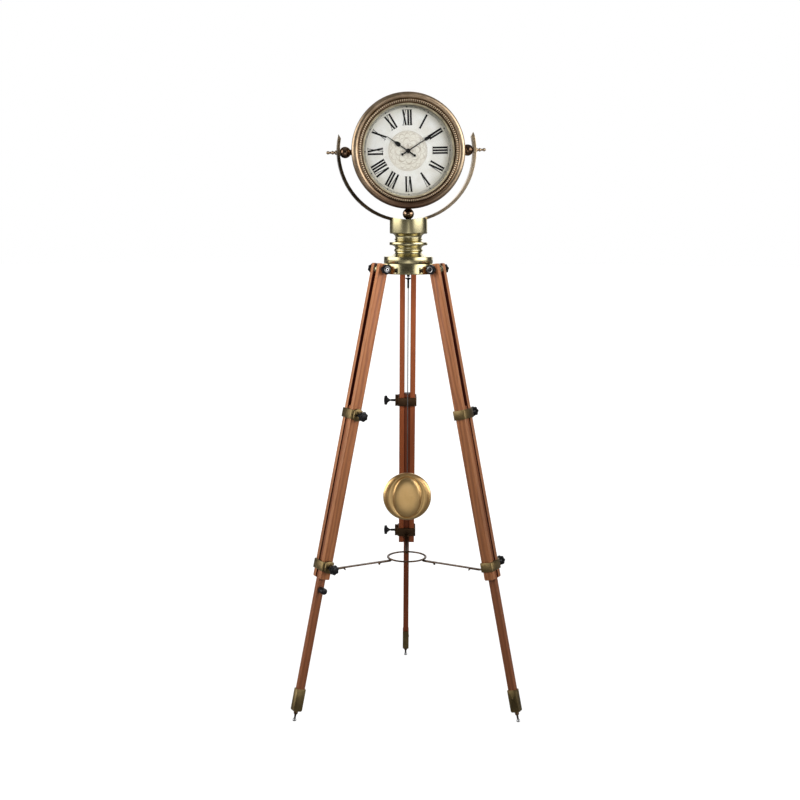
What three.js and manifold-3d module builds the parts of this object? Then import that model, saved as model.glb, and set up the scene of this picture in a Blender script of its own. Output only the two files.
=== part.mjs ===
// A tripod floor clock: three folding, sliding wooden legs under a turned brass column,
// which carries a round clock head in a half-round yoke, and a pendulum that hangs between the legs.
// Millimetres, +Z up, the origin on the floor below the column, the front towards -Y.
import * as THREE from "three";
import { mergeVertices } from "three/addons/utils/BufferGeometryUtils.js";
import Module from "manifold-3d";

const wasm = await Module();
wasm.setup();

// Fits shared by all pieces
const seatGap = 0.3;
const runGap = 0.5;
const cutOverrun = 2;
const weldDistance = 1e-4;

// Facets: sides of the rings, column, yoke cuts, balls and small turned pieces, and steps of curves
const ringSides = 30;
const columnSides = 26;
const cutSides = 96;
const ballSides = 12;
const turnSides = 10;
const cornerSteps = 1;
const curveSteps = 3;
const lobeSteps = 3;
const ballSteps = 6;
const coveSteps = 3;
const yokeSteps = 40;
const noseSteps = 4;
const ropeSides = 4;
const bobSides = 28;

// Stance of the tripod
const legAngles = { back: 90, left: 210, right: 330 };
const footCircleRadius = 307.5;
const baseBottom = 1051.8;
const baseHeight = 25.2;
const baseRadius = 58;
const baseEdgeRound = 1.2;
const hingeReach = 20.6;
const hingeCircleRadius = baseRadius + hingeReach;
const hingeHeight = baseBottom + baseHeight / 2;
const legTilt = Math.atan2(footCircleRadius - hingeCircleRadius, hingeHeight);
const legLength = hingeHeight / Math.cos(legTilt);

// Outer leg: two slats with a slot between them
const slatThickness = 13;
const slotWidth = 14;
const slatDepth = 24;
const slatTop = baseHeight / 2;
const slatReach = 741.5;
const slatCorner = 3;
const slatOuterFace = slotWidth / 2 + slatThickness;

// Hinge bolt and its star nut
const hingeBoltRadius = 4;
const knobRadius = 12;
const knobLobeDepth = 1.6;
const knobLobes = 7;
const hingeHubRadius = 7.5;
const hingeHubLength = 8;
const hingeKnobThickness = 9;
const insertRadius = 7.5;
const insertProud = 0.8;

// Inner leg, ferrule and foot
const innerLegThickness = slotWidth - 2 * runGap;
const innerLegDepth = 18;
const innerLegRise = 18.4;
const footReach = 24.3;
const ferruleLength = 54;
const ferruleTop = legLength - footReach - ferruleLength;
const ferruleFloor = 15;
const ferruleChamfer = 2.4;
const ferruleThickness = 16;
const ferruleDepth = 23;
const ferruleScrewRadius = 2.6;
const ferruleScrewProud = 1;
const footStudRadius = 3.2;
const footStudLength = 12;
const footCollarRadius = 5;
const footCollarLength = 7;
const footNeckRadius = 2.4;
const footBallRadius = 4.4;

// Collars on the outer leg
const collarGap = 0.4;
const collarWall = 3;
const collarHeight = 22;
const collarCorner = 2.5;
const midCollarAt = 345.7;
const slatEnd = 31.7;
const lowerCollarAt = slatReach - slatEnd;
const innerLegTop = midCollarAt - innerLegRise;
const keyGap = 0.5;
const earReach = 10.5;
const earHeight = 29;
const earWidth = 20;
const earCorner = 7;

// Thumb screws in the collars' ears
const screwRadius = 3;
const screwNeck = 13;
const screwHubLength = 7.3;
const screwHubRadius = 5;
const screwHubRim = 9;
const screwKnobThickness = 7.4;

// Stop knob on the front left inner leg
const stopKnobDrop = 26.5;
const stopKnobAt = slatReach + stopKnobDrop;
const stopKnobRadius = 7.5;
const stopKnobLength = 23;
const stopKnobEdge = 1.2;

// Spreader: three arms and the ring above their inner ends
const lugReach = 5;
const lugDrop = 9.6;
const lugCheek = 2.4;
const lugRound = 3.4;
const armEyeWidth = 5.4;
const armEyeRadius = 3;
const armNeck = 1.6;
const armPinRadius = 1.4;
const armWidth = 9;
const armThickness = 2.4;
const armTongueLength = 26;
const armTongueThickness = 1.5;
const armTongueWidth = 7.6;
const armTongueDrop = 4.2;
const ringOuterRadius = 48.6;
const ringWidth = 5;
const ringThickness = 3;
const ringGap = 0.4;

// Swivel bolt through the base into the column
const swivelRadius = 6;
const swivelHeadRadius = 11;
const swivelHeadHeight = 5.5;
const swivelLength = 46;

// Turned column, from its foot up
const columnFootHeight = 15.7;
const columnFootEdge = 1.6;
const flareHeight = 10.3;
const neckRadius = 31.3;
const neckBeadRise = 2.7;
const neckBeadHeight = 9;
const lowerCoveHeight = 7.2;
const ringBandRadius = 45;
const ringBandHeight = 7.2;
const ringBandNose = 1.6;
const upperCoveHeight = 4.4;
const waistBeadRise = 1.9;
const waistBeadHeight = 4.6;
const waistHeight = 2.6;
const cupFlareHeight = 11;
const cupRadius = 44.6;
const cupEdge = 3;
const cupWallHeight = 36.7;
const columnFoot = baseBottom + baseHeight + seatGap;
const footTop = columnFoot + columnFootHeight;
const flareTop = footTop + flareHeight;
const neckTop = flareTop + neckBeadHeight;
const bandLow = neckTop + lowerCoveHeight;
const bandHigh = bandLow + ringBandHeight;
const waistLow = bandHigh + upperCoveHeight;
const waistTop = waistLow + waistBeadHeight;
const cupLow = waistTop + waistHeight;
const cupHigh = cupLow + cupFlareHeight;
const columnTop = cupHigh + cupWallHeight;

// Clock head: ring sizes from the dial outwards
const dialSightRadius = 104.5;
const ropeStrandRadius = 3.1;
const ropeOffset = 1.4;
const ropeTwists = 30;
const ropeInset = 7.9;
const ropeRadius = dialSightRadius + ropeInset;
const ropeMargin = 5.1;
const noseRound = 8.2;
const noseFrom = -0.92 * Math.PI;
const noseTo = -0.06 * Math.PI;
const noseRadius = ropeRadius + ropeMargin + noseRound;
const bezelSkin = 1.8;
const bezelRadius = noseRadius + noseRound;
const bezelOverhang = 11.4;
const drumRadius = bezelRadius - bezelOverhang;
const drumWall = 1.6;
const drumCorner = 6;
const drumOpeningRadius = 62;
const coverLap = 8;
const coverThickness = 1.6;
const coverRim = 3;
const bezelLip = 2;
const glassThickness = 2;
const glassLap = 5.5;
const dialThickness = 1.2;

// The head's depths along its own Y, from the bezel's back edge forwards and backwards
const drumFront = -20;
const drumDepth = 58;
const drumBack = drumFront + drumDepth;
const bezelDepth = 18.5;
const bezelFront = drumFront - bezelDepth;
const ropeSeatInset = 7.3;
const ropeSeatDepth = bezelFront + ropeSeatInset;
const glassInset = 3;
const glassFront = ropeSeatDepth + glassInset;
const dialClearance = 9.5;
const dialFront = glassFront + glassThickness + dialClearance;

// Yoke, a strap round the drum that leans a little to the left in its saddle
const headTurn = THREE.MathUtils.degToRad(8.5);
const yokeLean = THREE.MathUtils.degToRad(1.8);
const headGap = 35.5;
const yokeThickness = 7;
const yokeWidth = 19;
const yokeInnerRadius = drumRadius + headGap;
const yokeOuterRadius = yokeInnerRadius + yokeThickness;
const yokeTipAngle = THREE.MathUtils.degToRad(14.8);
const yokePointAngle = THREE.MathUtils.degToRad(3.2);
const yokePointLength = 13;
const yokePointWidth = 3;
const saddleDepth = 13;
const seatHeight = columnTop - saddleDepth;

// Ball spacers, ball nut and finials on the yoke
const ballRadius = 13.5;
const ballNeckRadius = 6.5;
const nutStudRadius = 4;
const nutStudLength = 24;
const pivotStudRadius = 3.5;
const finialFlangeRadius = 5.2;
const finialFlangeLength = 3;
const finialWaistRadius = 2.6;
const finialBeadRadius = 4.4;
const finialBallRadius = 4;
const finialLength = 24;

// Movement and hands
const movementSide = 56;
const movementDepth = 16;
const movementCorner = 6;
const bushRadius = 4;
const bushProud = 1.6;
const hourTubeRadius = 2.6;
const hourTubeLength = 2;
const shaftRadius = 1.3;
const shaftLength = 2.4;
const handThickness = 0.8;
const handHubRadius = 5.4;
const handStemWidth = 3;
const handNeckWidth = 2.2;
const handTipWidth = 1.2;
const hourHand = { length: 58, tail: 22, leafAt: 27, leafWidth: 9.6, leafLength: 17 };
const minuteHand = { length: 90, tail: 19, leafAt: 52, leafWidth: 7.8, leafLength: 18 };
const shownHour = 10;
const shownMinute = 9.8;

// Pendulum
const pendulumPivotDrop = 4;
const bobClearance = 91.1;
const hangerWidth = 7;
const hangerDepth = 10;
const hangerHeight = 6.6;
const hangerSlot = 3.2;
const hangerPinRadius = 1;
const hangerStudRadius = 2;
const hookEyeThickness = 2.2;
const hookEyeRadius = 2.6;
const hookWireRadius = 0.9;
const hookKnobTop = 5;
const hookKnobRadius = 8;
const hookKnobHeight = 5;
const hookSleeveRadius = 2.6;
const hookSleeveLength = 20;
const rodRadius = 1.2;
const rodInset = 12;
const bobRadius = 58.5;
const bobRimThickness = 3;
const bobFrontRise = 13;
const bobBackRise = 10;
const bobOvalWidth = 34;
const bobOvalHeight = 50;
const bobSocketRadius = rodRadius + seatGap;
const bobSocketDepth = 30;

// Finishes
const finish = {
  wood: new THREE.MeshStandardMaterial({ color: 0x9a5a34, roughness: 0.45, metalness: 0 }),
  wood_dark: new THREE.MeshStandardMaterial({ color: 0x5e2c16, roughness: 0.5, metalness: 0 }),
  brass: new THREE.MeshStandardMaterial({ color: 0xb9a878, roughness: 0.32, metalness: 1 }),
  brass_old: new THREE.MeshStandardMaterial({ color: 0x6e5a2e, roughness: 0.45, metalness: 1 }),
  bronze: new THREE.MeshStandardMaterial({ color: 0x8c6a4c, roughness: 0.35, metalness: 1 }),
  black: new THREE.MeshStandardMaterial({ color: 0x131314, roughness: 0.4, metalness: 0 }),
  steel: new THREE.MeshStandardMaterial({ color: 0xb4b6b8, roughness: 0.3, metalness: 1 }),
  dial: new THREE.MeshStandardMaterial({ color: 0xe9e3d2, roughness: 0.7, metalness: 0 }),
  glass: new THREE.MeshStandardMaterial({ color: 0xf4f8fa, roughness: 0.05, transparent: true, opacity: 0.2 }),
};

// A closed three.js geometry as a solid that can be joined and cut.
function solid(geometry) {
  const bare = geometry.clone();
  bare.deleteAttribute("normal");
  bare.deleteAttribute("uv");
  const merged = mergeVertices(bare, weldDistance);
  const vertProperties = merged.attributes.position.array;
  const triVerts = new Uint32Array(merged.index.array);
  return new wasm.Manifold(new wasm.Mesh({ numProp: 3, vertProperties, triVerts }));
}

// A solid as a three.js geometry again.
function surface(body) {
  const mesh = body.getMesh();
  const geometry = new THREE.BufferGeometry();
  geometry.setAttribute("position", new THREE.BufferAttribute(mesh.vertProperties, 3));
  geometry.setIndex(new THREE.BufferAttribute(mesh.triVerts, 1));
  return geometry;
}

function joined(...geometries) {
  return geometries.map(solid).reduce((all, next) => all.add(next));
}

function outline(points) {
  return points.map(([x, y]) => new THREE.Vector2(x, y));
}

// A profile of [radius, height] points turned about Y, from the axis to the axis or closed on itself.
function turned(points, sides) {
  const profile = outline(points);
  if (THREE.ShapeUtils.area(profile) < 0) profile.reverse();
  if (profile.some((point) => point.x > 0) && profile[0].x > 0) profile.push(profile[0].clone());
  return new THREE.LatheGeometry(profile, sides);
}

// The same, turned about Z.
function turnedUpright(points, sides) {
  return turned(points, sides).rotateX(Math.PI / 2);
}

// Points along an arc in a profile, ends included.
function arc(x, y, radius, from, to, steps) {
  return Array.from({ length: steps + 1 }, (_, i) => {
    const angle = from + ((to - from) * i) / steps;
    return [x + radius * Math.cos(angle), y + radius * Math.sin(angle)];
  });
}

// Points along a rounded bead that bulges out by rise between two heights at one radius.
function bead(radius, rise, low, high, steps) {
  return Array.from({ length: steps + 1 }, (_, i) => {
    const share = i / steps;
    return [radius + rise * Math.sin(Math.PI * share), low + (high - low) * share];
  });
}

// Points along a hollow curve from one radius and height to another, steepest at the narrow end.
function cove(r0, z0, r1, z1, steps) {
  const narrowFirst = r0 < r1;
  return Array.from({ length: steps + 1 }, (_, i) => {
    const turn = (Math.PI / 2) * (i / steps);
    const across = narrowFirst ? 1 - Math.cos(turn) : Math.sin(turn);
    const up = narrowFirst ? Math.sin(turn) : 1 - Math.cos(turn);
    return [r0 + (r1 - r0) * across, z0 + (z1 - z0) * up];
  });
}

// A flat outline of given thickness, centred on its own plane, XY.
function plate(shape, thickness, curveSegments) {
  const options = { depth: thickness, bevelEnabled: false, curveSegments };
  return new THREE.ExtrudeGeometry(shape, options).translate(0, 0, -thickness / 2);
}

// The same, standing in the XZ plane with its thickness along Y.
function uprightPlate(shape, thickness, curveSegments) {
  return plate(shape, thickness, curveSegments).rotateX(Math.PI / 2);
}

function roundedRectangle(x0, y0, x1, y1, corner) {
  const shape = new THREE.Shape();
  shape.moveTo(x0 + corner, y0);
  shape.lineTo(x1 - corner, y0);
  shape.absarc(x1 - corner, y0 + corner, corner, -Math.PI / 2, 0);
  shape.lineTo(x1, y1 - corner);
  shape.absarc(x1 - corner, y1 - corner, corner, 0, Math.PI / 2);
  shape.lineTo(x0 + corner, y1);
  shape.absarc(x0 + corner, y1 - corner, corner, Math.PI / 2, Math.PI);
  shape.lineTo(x0, y0 + corner);
  shape.absarc(x0 + corner, y0 + corner, corner, Math.PI, 1.5 * Math.PI);
  return shape;
}

function circleHole(x, y, radius) {
  return new THREE.Path(outline(arc(x, y, radius, 2 * Math.PI, 0, turnSides).slice(1)));
}

// Round bars along each axis, from one coordinate to another.
function barY(radius, from, to, sides) {
  const geometry = new THREE.CylinderGeometry(radius, radius, to - from, sides);
  return geometry.translate(0, (from + to) / 2, 0);
}
function barZ(radius, from, to, sides) {
  return barY(radius, from, to, sides).rotateX(Math.PI / 2);
}
function barX(radius, from, to, sides) {
  return barY(radius, from, to, sides).rotateZ(-Math.PI / 2);
}

function box(x0, x1, y0, y1, z0, z1) {
  const geometry = new THREE.BoxGeometry(x1 - x0, y1 - y0, z1 - z0);
  return geometry.translate((x0 + x1) / 2, (y0 + y1) / 2, (z0 + z1) / 2);
}

// A lobed grip outline in the plane square to Y, between two values of Y.
function starGrip(from, to, boreRadius) {
  const shape = new THREE.Shape();
  const steps = lobeSteps * knobLobes;
  for (let i = 0; i < steps; i++) {
    const angle = (2 * Math.PI * i) / steps;
    const radius = knobRadius - (knobLobeDepth * (1 - Math.cos(knobLobes * angle))) / 2;
    const place = [radius * Math.cos(angle), radius * Math.sin(angle)];
    if (i === 0) shape.moveTo(...place);
    else shape.lineTo(...place);
  }
  if (boreRadius > 0) shape.holes.push(circleHole(0, 0, boreRadius));
  return uprightPlate(shape, to - from, cornerSteps).translate(0, (from + to) / 2, 0);
}

function piece(group, name, material, geometry, place = [0, 0, 0]) {
  const mesh = new THREE.Mesh(geometry, material);
  mesh.name = name;
  mesh.position.set(...place);
  group.add(mesh);
  return mesh;
}

// Outer leg slats: local X outwards, Y across the leg, Z up along it, from the hinge axis.
function slatGeometry() {
  const shape = roundedRectangle(-slatDepth / 2, -slatReach, slatDepth / 2, slatTop, slatCorner);
  shape.holes.push(circleHole(0, 0, hingeBoltRadius + runGap));
  return uprightPlate(shape, slatThickness, cornerSteps);
}

// Star-headed hinge bolt: shaft, hub and the pressed-in steel face of its head.
function hingeBoltGeometry() {
  const seat = slatOuterFace + seatGap;
  const neck = seat + hingeHubLength;
  const face = neck + hingeKnobThickness;
  const shaftEnd = face + insertProud;
  const stem = turned(
    [
      [0, -face - insertProud],
      [insertRadius, -face - insertProud],
      [insertRadius, -neck - hingeKnobThickness / 2],
      [hingeHubRadius, -neck],
      [hingeHubRadius, -seat],
      [hingeBoltRadius, -seat],
      [hingeBoltRadius, shaftEnd],
      [0, shaftEnd],
    ],
    turnSides,
  );
  return surface(joined(stem, starGrip(-face, -neck, 0)));
}

function hingeKnobGeometry() {
  const seat = slatOuterFace + seatGap;
  const neck = seat + hingeHubLength;
  const face = neck + hingeKnobThickness;
  const bore = hingeBoltRadius + seatGap;
  const hub = turned(
    [
      [bore, seat],
      [hingeHubRadius, seat],
      [hingeHubRadius, neck],
      [insertRadius, neck + hingeKnobThickness / 2],
      [insertRadius, face + insertProud],
      [bore, face + insertProud],
    ],
    turnSides,
  );
  return surface(joined(hub, starGrip(neck, face, bore)));
}

// A collar round both slats. Its two inner keys reach into the slot up to keyFace.
function collarBand(keyFace) {
  const hx = slatDepth / 2 + collarGap;
  const hy = slatOuterFace + collarGap;
  const key = slotWidth / 2 - runGap;
  const outX = hx + collarWall;
  const outY = hy + collarWall;
  const band = roundedRectangle(-outX, -outY, outX, outY, collarCorner);
  const opening = new THREE.Path(
    outline([
      [-hx, -hy],
      [-hx, -key],
      [-keyFace, -key],
      [-keyFace, key],
      [-hx, key],
      [-hx, hy],
      [hx, hy],
      [hx, key],
      [keyFace, key],
      [keyFace, -key],
      [hx, -key],
      [hx, -hy],
    ]),
  );
  band.holes.push(opening);
  return plate(band, collarHeight, cornerSteps);
}

// The rounded ear on the collar's side, bored for the thumb screw.
function collarEar() {
  const start = slatOuterFace + collarGap + collarWall / 2;
  const end = slatOuterFace + earReach;
  const shape = roundedRectangle(-earWidth / 2, -earHeight / 2, earWidth / 2, earHeight / 2, earCorner);
  return uprightPlate(shape, end - start, cornerSteps).translate(0, (start + end) / 2, 0);
}

function earBore() {
  const end = slatOuterFace + earReach + cutOverrun;
  return barY(screwRadius + collarGap, slatOuterFace - cutOverrun, end, turnSides);
}

function midCollarGeometry() {
  const band = collarBand(innerLegDepth / 2 + seatGap);
  return surface(joined(band, collarEar()).subtract(solid(earBore())));
}

// Where a spreader arm turns on the lower collar, in the leg's own X and Z.
const armPivotX = -(slatDepth / 2 + collarGap + collarWall + lugReach);
const armPivotZ = -(lowerCollarAt + lugDrop);

// The lower collar also carries the arm's lug: two cheeks and the pin between them.
function lowerCollarGeometry() {
  const wall = -(slatDepth / 2 + collarGap + collarWall / 2);
  const cheekShape = new THREE.Shape();
  cheekShape.moveTo(wall, -lugDrop - lugRound);
  cheekShape.lineTo(wall, -lugDrop + lugRound);
  cheekShape.lineTo(armPivotX, -lugDrop + lugRound);
  cheekShape.absarc(armPivotX, -lugDrop, lugRound, Math.PI / 2, 1.5 * Math.PI);
  const slotHalf = armEyeWidth / 2 + collarGap;
  const cheekPlace = slotHalf + lugCheek / 2;
  const cheek = (side) => uprightPlate(cheekShape, lugCheek, curveSteps).translate(0, side * cheekPlace, 0);
  const pinReach = slotHalf + lugCheek / 2;
  const pin = barY(armPinRadius, -pinReach, pinReach, turnSides).translate(armPivotX, 0, -lugDrop);
  const whole = joined(collarBand(innerLegDepth / 2 + keyGap), collarEar(), cheek(1), cheek(-1), pin);
  return surface(whole.subtract(solid(earBore())));
}

// Thumb screw: stud through the ear, cone hub and star grip.
function thumbScrewGeometry() {
  const tip = slatOuterFace + seatGap;
  const neck = slatOuterFace + earReach + screwNeck;
  const rim = neck + screwHubLength;
  const face = rim + screwKnobThickness;
  const stem = turned(
    [
      [0, tip],
      [screwRadius, tip],
      [screwRadius, neck],
      [screwHubRadius, neck],
      [screwHubRim, rim],
      [screwHubRim, (rim + face) / 2],
      [0, (rim + face) / 2],
    ],
    turnSides,
  );
  return surface(joined(stem, starGrip(rim, face, 0)));
}

function innerLegGeometry() {
  const end = ferruleTop + ferruleLength - ferruleFloor - seatGap;
  const halfDepth = innerLegDepth / 2;
  const halfThickness = innerLegThickness / 2;
  return box(-halfDepth, halfDepth, -halfThickness, halfThickness, -end, -innerLegTop);
}

// Brass socket on the inner leg's end: a straight cap with chamfers, a side screw and the stud's bore.
function ferruleGeometry() {
  const bottom = ferruleTop + ferruleLength;
  const hx = ferruleDepth / 2;
  const hy = ferruleThickness / 2;
  const inX = innerLegDepth / 2 + seatGap;
  const inY = innerLegThickness / 2 + seatGap;
  const socketFloor = bottom - ferruleFloor;
  const cap = new THREE.Shape(
    outline([
      [-hx, -ferruleTop],
      [-hx, -bottom + ferruleChamfer],
      [-hx + ferruleChamfer, -bottom],
      [hx - ferruleChamfer, -bottom],
      [hx, -bottom + ferruleChamfer],
      [hx, -ferruleTop],
    ]),
  );
  const screwAt = (ferruleTop + socketFloor) / 2;
  const screw = barY(ferruleScrewRadius, -hy - ferruleScrewProud, -hy + ferruleScrewProud / 2, turnSides);
  const outer = joined(uprightPlate(cap, ferruleThickness, cornerSteps), screw.translate(0, 0, -screwAt));
  const socket = box(-inX, inX, -inY, inY, -socketFloor, -ferruleTop + cutOverrun);
  const boreTop = footStudLength + seatGap - bottom;
  const bore = barZ(footStudRadius + seatGap, -bottom - cutOverrun, boreTop, turnSides);
  return surface(outer.subtract(solid(socket)).subtract(solid(bore)));
}

// Steel foot: stud, collar, neck and a ball worn flat where it meets the floor.
function footTipGeometry() {
  const seat = -(ferruleTop + ferruleLength + seatGap);
  const shoulder = seat - footCollarLength;
  const ballCentre = -legLength + footBallRadius / 2;
  const body = turnedUpright(
    [
      [0, seat + footStudLength],
      [footStudRadius, seat + footStudLength],
      [footStudRadius, seat],
      [footCollarRadius, seat],
      [footCollarRadius, shoulder + footNeckRadius / 2],
      [footNeckRadius, shoulder - footNeckRadius],
      ...arc(0, ballCentre, footBallRadius, Math.PI / 3, -Math.PI / 3, coveSteps),
      [0, ballCentre - footBallRadius],
    ],
    turnSides,
  );
  const reach = 2 * footBallRadius;
  const floor = box(-reach, reach, -reach, reach, -reach, 0).rotateY(legTilt).translate(0, 0, -legLength);
  return surface(solid(body).subtract(solid(floor)));
}

function stopKnobGeometry() {
  const start = innerLegThickness / 2 + seatGap;
  const end = start + stopKnobLength;
  return turned(
    [
      [0, start],
      [stopKnobRadius - stopKnobEdge, start],
      [stopKnobRadius, start + stopKnobEdge],
      [stopKnobRadius, end - stopKnobEdge],
      [stopKnobRadius - stopKnobEdge, end],
      [0, end],
    ],
    turnSides,
  );
}

// Arm pivot in the plane of its leg: distance from the clock's axis, and height.
const armPivotRadius = hingeCircleRadius + armPivotX * Math.cos(legTilt) - armPivotZ * Math.sin(legTilt);
const armPivotHeight = hingeHeight + armPivotX * Math.sin(legTilt) + armPivotZ * Math.cos(legTilt);
const armReach = armPivotRadius - ringOuterRadius + ringWidth;
const ringHeight = armPivotHeight + armThickness / 2 + ringGap + ringThickness / 2;

// A springy tongue under the arm: flat, then curling down at its free end. dir is the way it runs along X.
function armTongue(start, dir) {
  const top = -armThickness / 2 + armTongueThickness / 4;
  const low = top - armTongueThickness;
  const straight = start + dir * armTongueLength;
  const tip = straight + dir * armTongueDrop;
  const shape = new THREE.Shape();
  shape.moveTo(start, top);
  shape.lineTo(straight, top);
  shape.quadraticCurveTo(tip, top, tip, low - armTongueDrop);
  shape.lineTo(tip - dir * armTongueThickness, low - armTongueDrop);
  shape.quadraticCurveTo(tip - dir * armTongueThickness, low, straight, low);
  shape.lineTo(start, low);
  return uprightPlate(shape, armTongueWidth, curveSteps);
}

function spreaderArmGeometry() {
  const neck = armEyeRadius + armNeck;
  const tip = armReach - armWidth / 2;
  const bar = new THREE.Shape();
  bar.moveTo(0, -armEyeWidth / 2);
  bar.lineTo(0, armEyeWidth / 2);
  bar.lineTo(-neck, armEyeWidth / 2);
  bar.lineTo(-neck, armWidth / 2);
  bar.lineTo(-tip, armWidth / 2);
  bar.absarc(-tip, 0, armWidth / 2, Math.PI / 2, 1.5 * Math.PI);
  bar.lineTo(-neck, -armWidth / 2);
  bar.lineTo(-neck, -armEyeWidth / 2);
  const eye = barY(armEyeRadius, -armEyeWidth / 2, armEyeWidth / 2, turnSides);
  const pinHole = barY(armPinRadius + collarGap, -armEyeWidth, armEyeWidth, turnSides);
  const collarTongue = armTongue(-neck - armWidth / 2, -1);
  const ringTongue = armTongue(-tip, 1);
  const whole = joined(plate(bar, armThickness, curveSteps), eye, collarTongue, ringTongue);
  return surface(whole.subtract(solid(pinHole)));
}

function spreaderRingGeometry() {
  const inner = ringOuterRadius - ringWidth;
  const half = ringThickness / 2;
  return turnedUpright(
    [
      [inner, -half],
      [ringOuterRadius, -half],
      [ringOuterRadius, half],
      [inner, half],
    ],
    ringSides,
  );
}

// Leg base: a turned disc with three hinge tongues, bored for the swivel bolt.
function legBaseGeometry() {
  const top = baseBottom + baseHeight;
  const disc = turnedUpright(
    [
      [0, baseBottom],
      [baseRadius - baseEdgeRound, baseBottom],
      [baseRadius, baseBottom + baseEdgeRound],
      [baseRadius, top - baseEdgeRound],
      [baseRadius - baseEdgeRound, top],
      [0, top],
    ],
    ringSides,
  );
  const tongueShape = new THREE.Shape();
  tongueShape.moveTo(baseRadius / 2, -baseHeight / 2);
  tongueShape.lineTo(hingeCircleRadius, -baseHeight / 2);
  tongueShape.absarc(hingeCircleRadius, 0, baseHeight / 2, -Math.PI / 2, Math.PI / 2);
  tongueShape.lineTo(baseRadius / 2, baseHeight / 2);
  tongueShape.holes.push(circleHole(hingeCircleRadius, 0, hingeBoltRadius + runGap));
  const tongues = Object.values(legAngles).map((azimuth) =>
    uprightPlate(tongueShape, slotWidth - 2 * runGap, cornerSteps)
      .translate(0, 0, hingeHeight)
      .rotateZ(THREE.MathUtils.degToRad(azimuth)),
  );
  const bore = barZ(swivelRadius + seatGap, baseBottom - cutOverrun, top + cutOverrun, turnSides);
  const headSeat = baseBottom + swivelHeadHeight + seatGap;
  const counterbore = barZ(swivelHeadRadius + runGap, baseBottom - cutOverrun, headSeat, turnSides);
  const cast = joined(disc, ...tongues);
  return surface(cast.subtract(solid(bore)).subtract(solid(counterbore)));
}

// Swivel bolt: its head sits in the base and is bored for the pendulum hanger's stud.
function swivelBoltGeometry() {
  const headTop = baseBottom + swivelHeadHeight;
  const end = baseBottom + swivelLength;
  const bore = hangerStudRadius + seatGap;
  return turnedUpright(
    [
      [bore, baseBottom],
      [swivelHeadRadius, baseBottom],
      [swivelHeadRadius, headTop],
      [swivelRadius, headTop],
      [swivelRadius, end],
      [0, end],
      [0, headTop],
      [bore, headTop],
      [bore, baseBottom],
    ],
    turnSides,
  );
}

// The yoke and the head lean about the middle of the yoke's seat on the column.
function leaned(geometry) {
  return geometry.rotateY(-yokeLean).translate(0, 0, seatHeight);
}

// Turned column: foot, neck bead, ring band and waist bead, and a cup cut on top for the yoke.
function columnGeometry() {
  const bandEdge = ringBandRadius - ringBandNose;
  const cupSide = cupRadius - cupEdge;
  const blank = turnedUpright(
    [
      [0, columnFoot],
      [baseRadius - baseEdgeRound, columnFoot],
      [baseRadius, columnFoot + baseEdgeRound],
      [baseRadius, footTop - columnFootEdge],
      ...cove(baseRadius - columnFootEdge, footTop, neckRadius, flareTop, coveSteps),
      ...bead(neckRadius, neckBeadRise, flareTop, neckTop, coveSteps).slice(1),
      ...cove(neckRadius, neckTop, bandEdge, bandLow, coveSteps).slice(1),
      [ringBandRadius, bandLow + ringBandNose],
      [ringBandRadius, bandHigh - ringBandNose],
      ...cove(bandEdge, bandHigh, neckRadius, waistLow, coveSteps),
      ...bead(neckRadius, waistBeadRise, waistLow, waistTop, coveSteps).slice(1),
      ...cove(neckRadius, cupLow, cupSide, cupHigh - cupEdge, coveSteps),
      [cupRadius, cupHigh],
      [cupRadius, columnTop],
      [0, columnTop],
    ],
    columnSides,
  );
  const overall = cupRadius + cutOverrun;
  const boreTop = baseBottom + swivelLength + runGap;
  const swivelBore = barZ(swivelRadius + runGap, columnFoot - cutOverrun, boreTop, turnSides);
  const studBore = barZ(nutStudRadius + seatGap, -nutStudLength - seatGap, saddleDepth, turnSides);
  const saddle = barY(yokeInnerRadius, -overall, overall, cutSides).translate(0, 0, yokeOuterRadius);
  const slotHalf = yokeWidth / 2 + seatGap;
  const slot = barY(yokeOuterRadius + seatGap, -slotHalf, slotHalf, cutSides);
  const cuts = [swivelBore, leaned(studBore), leaned(saddle), leaned(slot.translate(0, 0, yokeOuterRadius))];
  return surface(cuts.map(solid).reduce((body, cut) => body.subtract(cut), solid(blank)));
}

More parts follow.
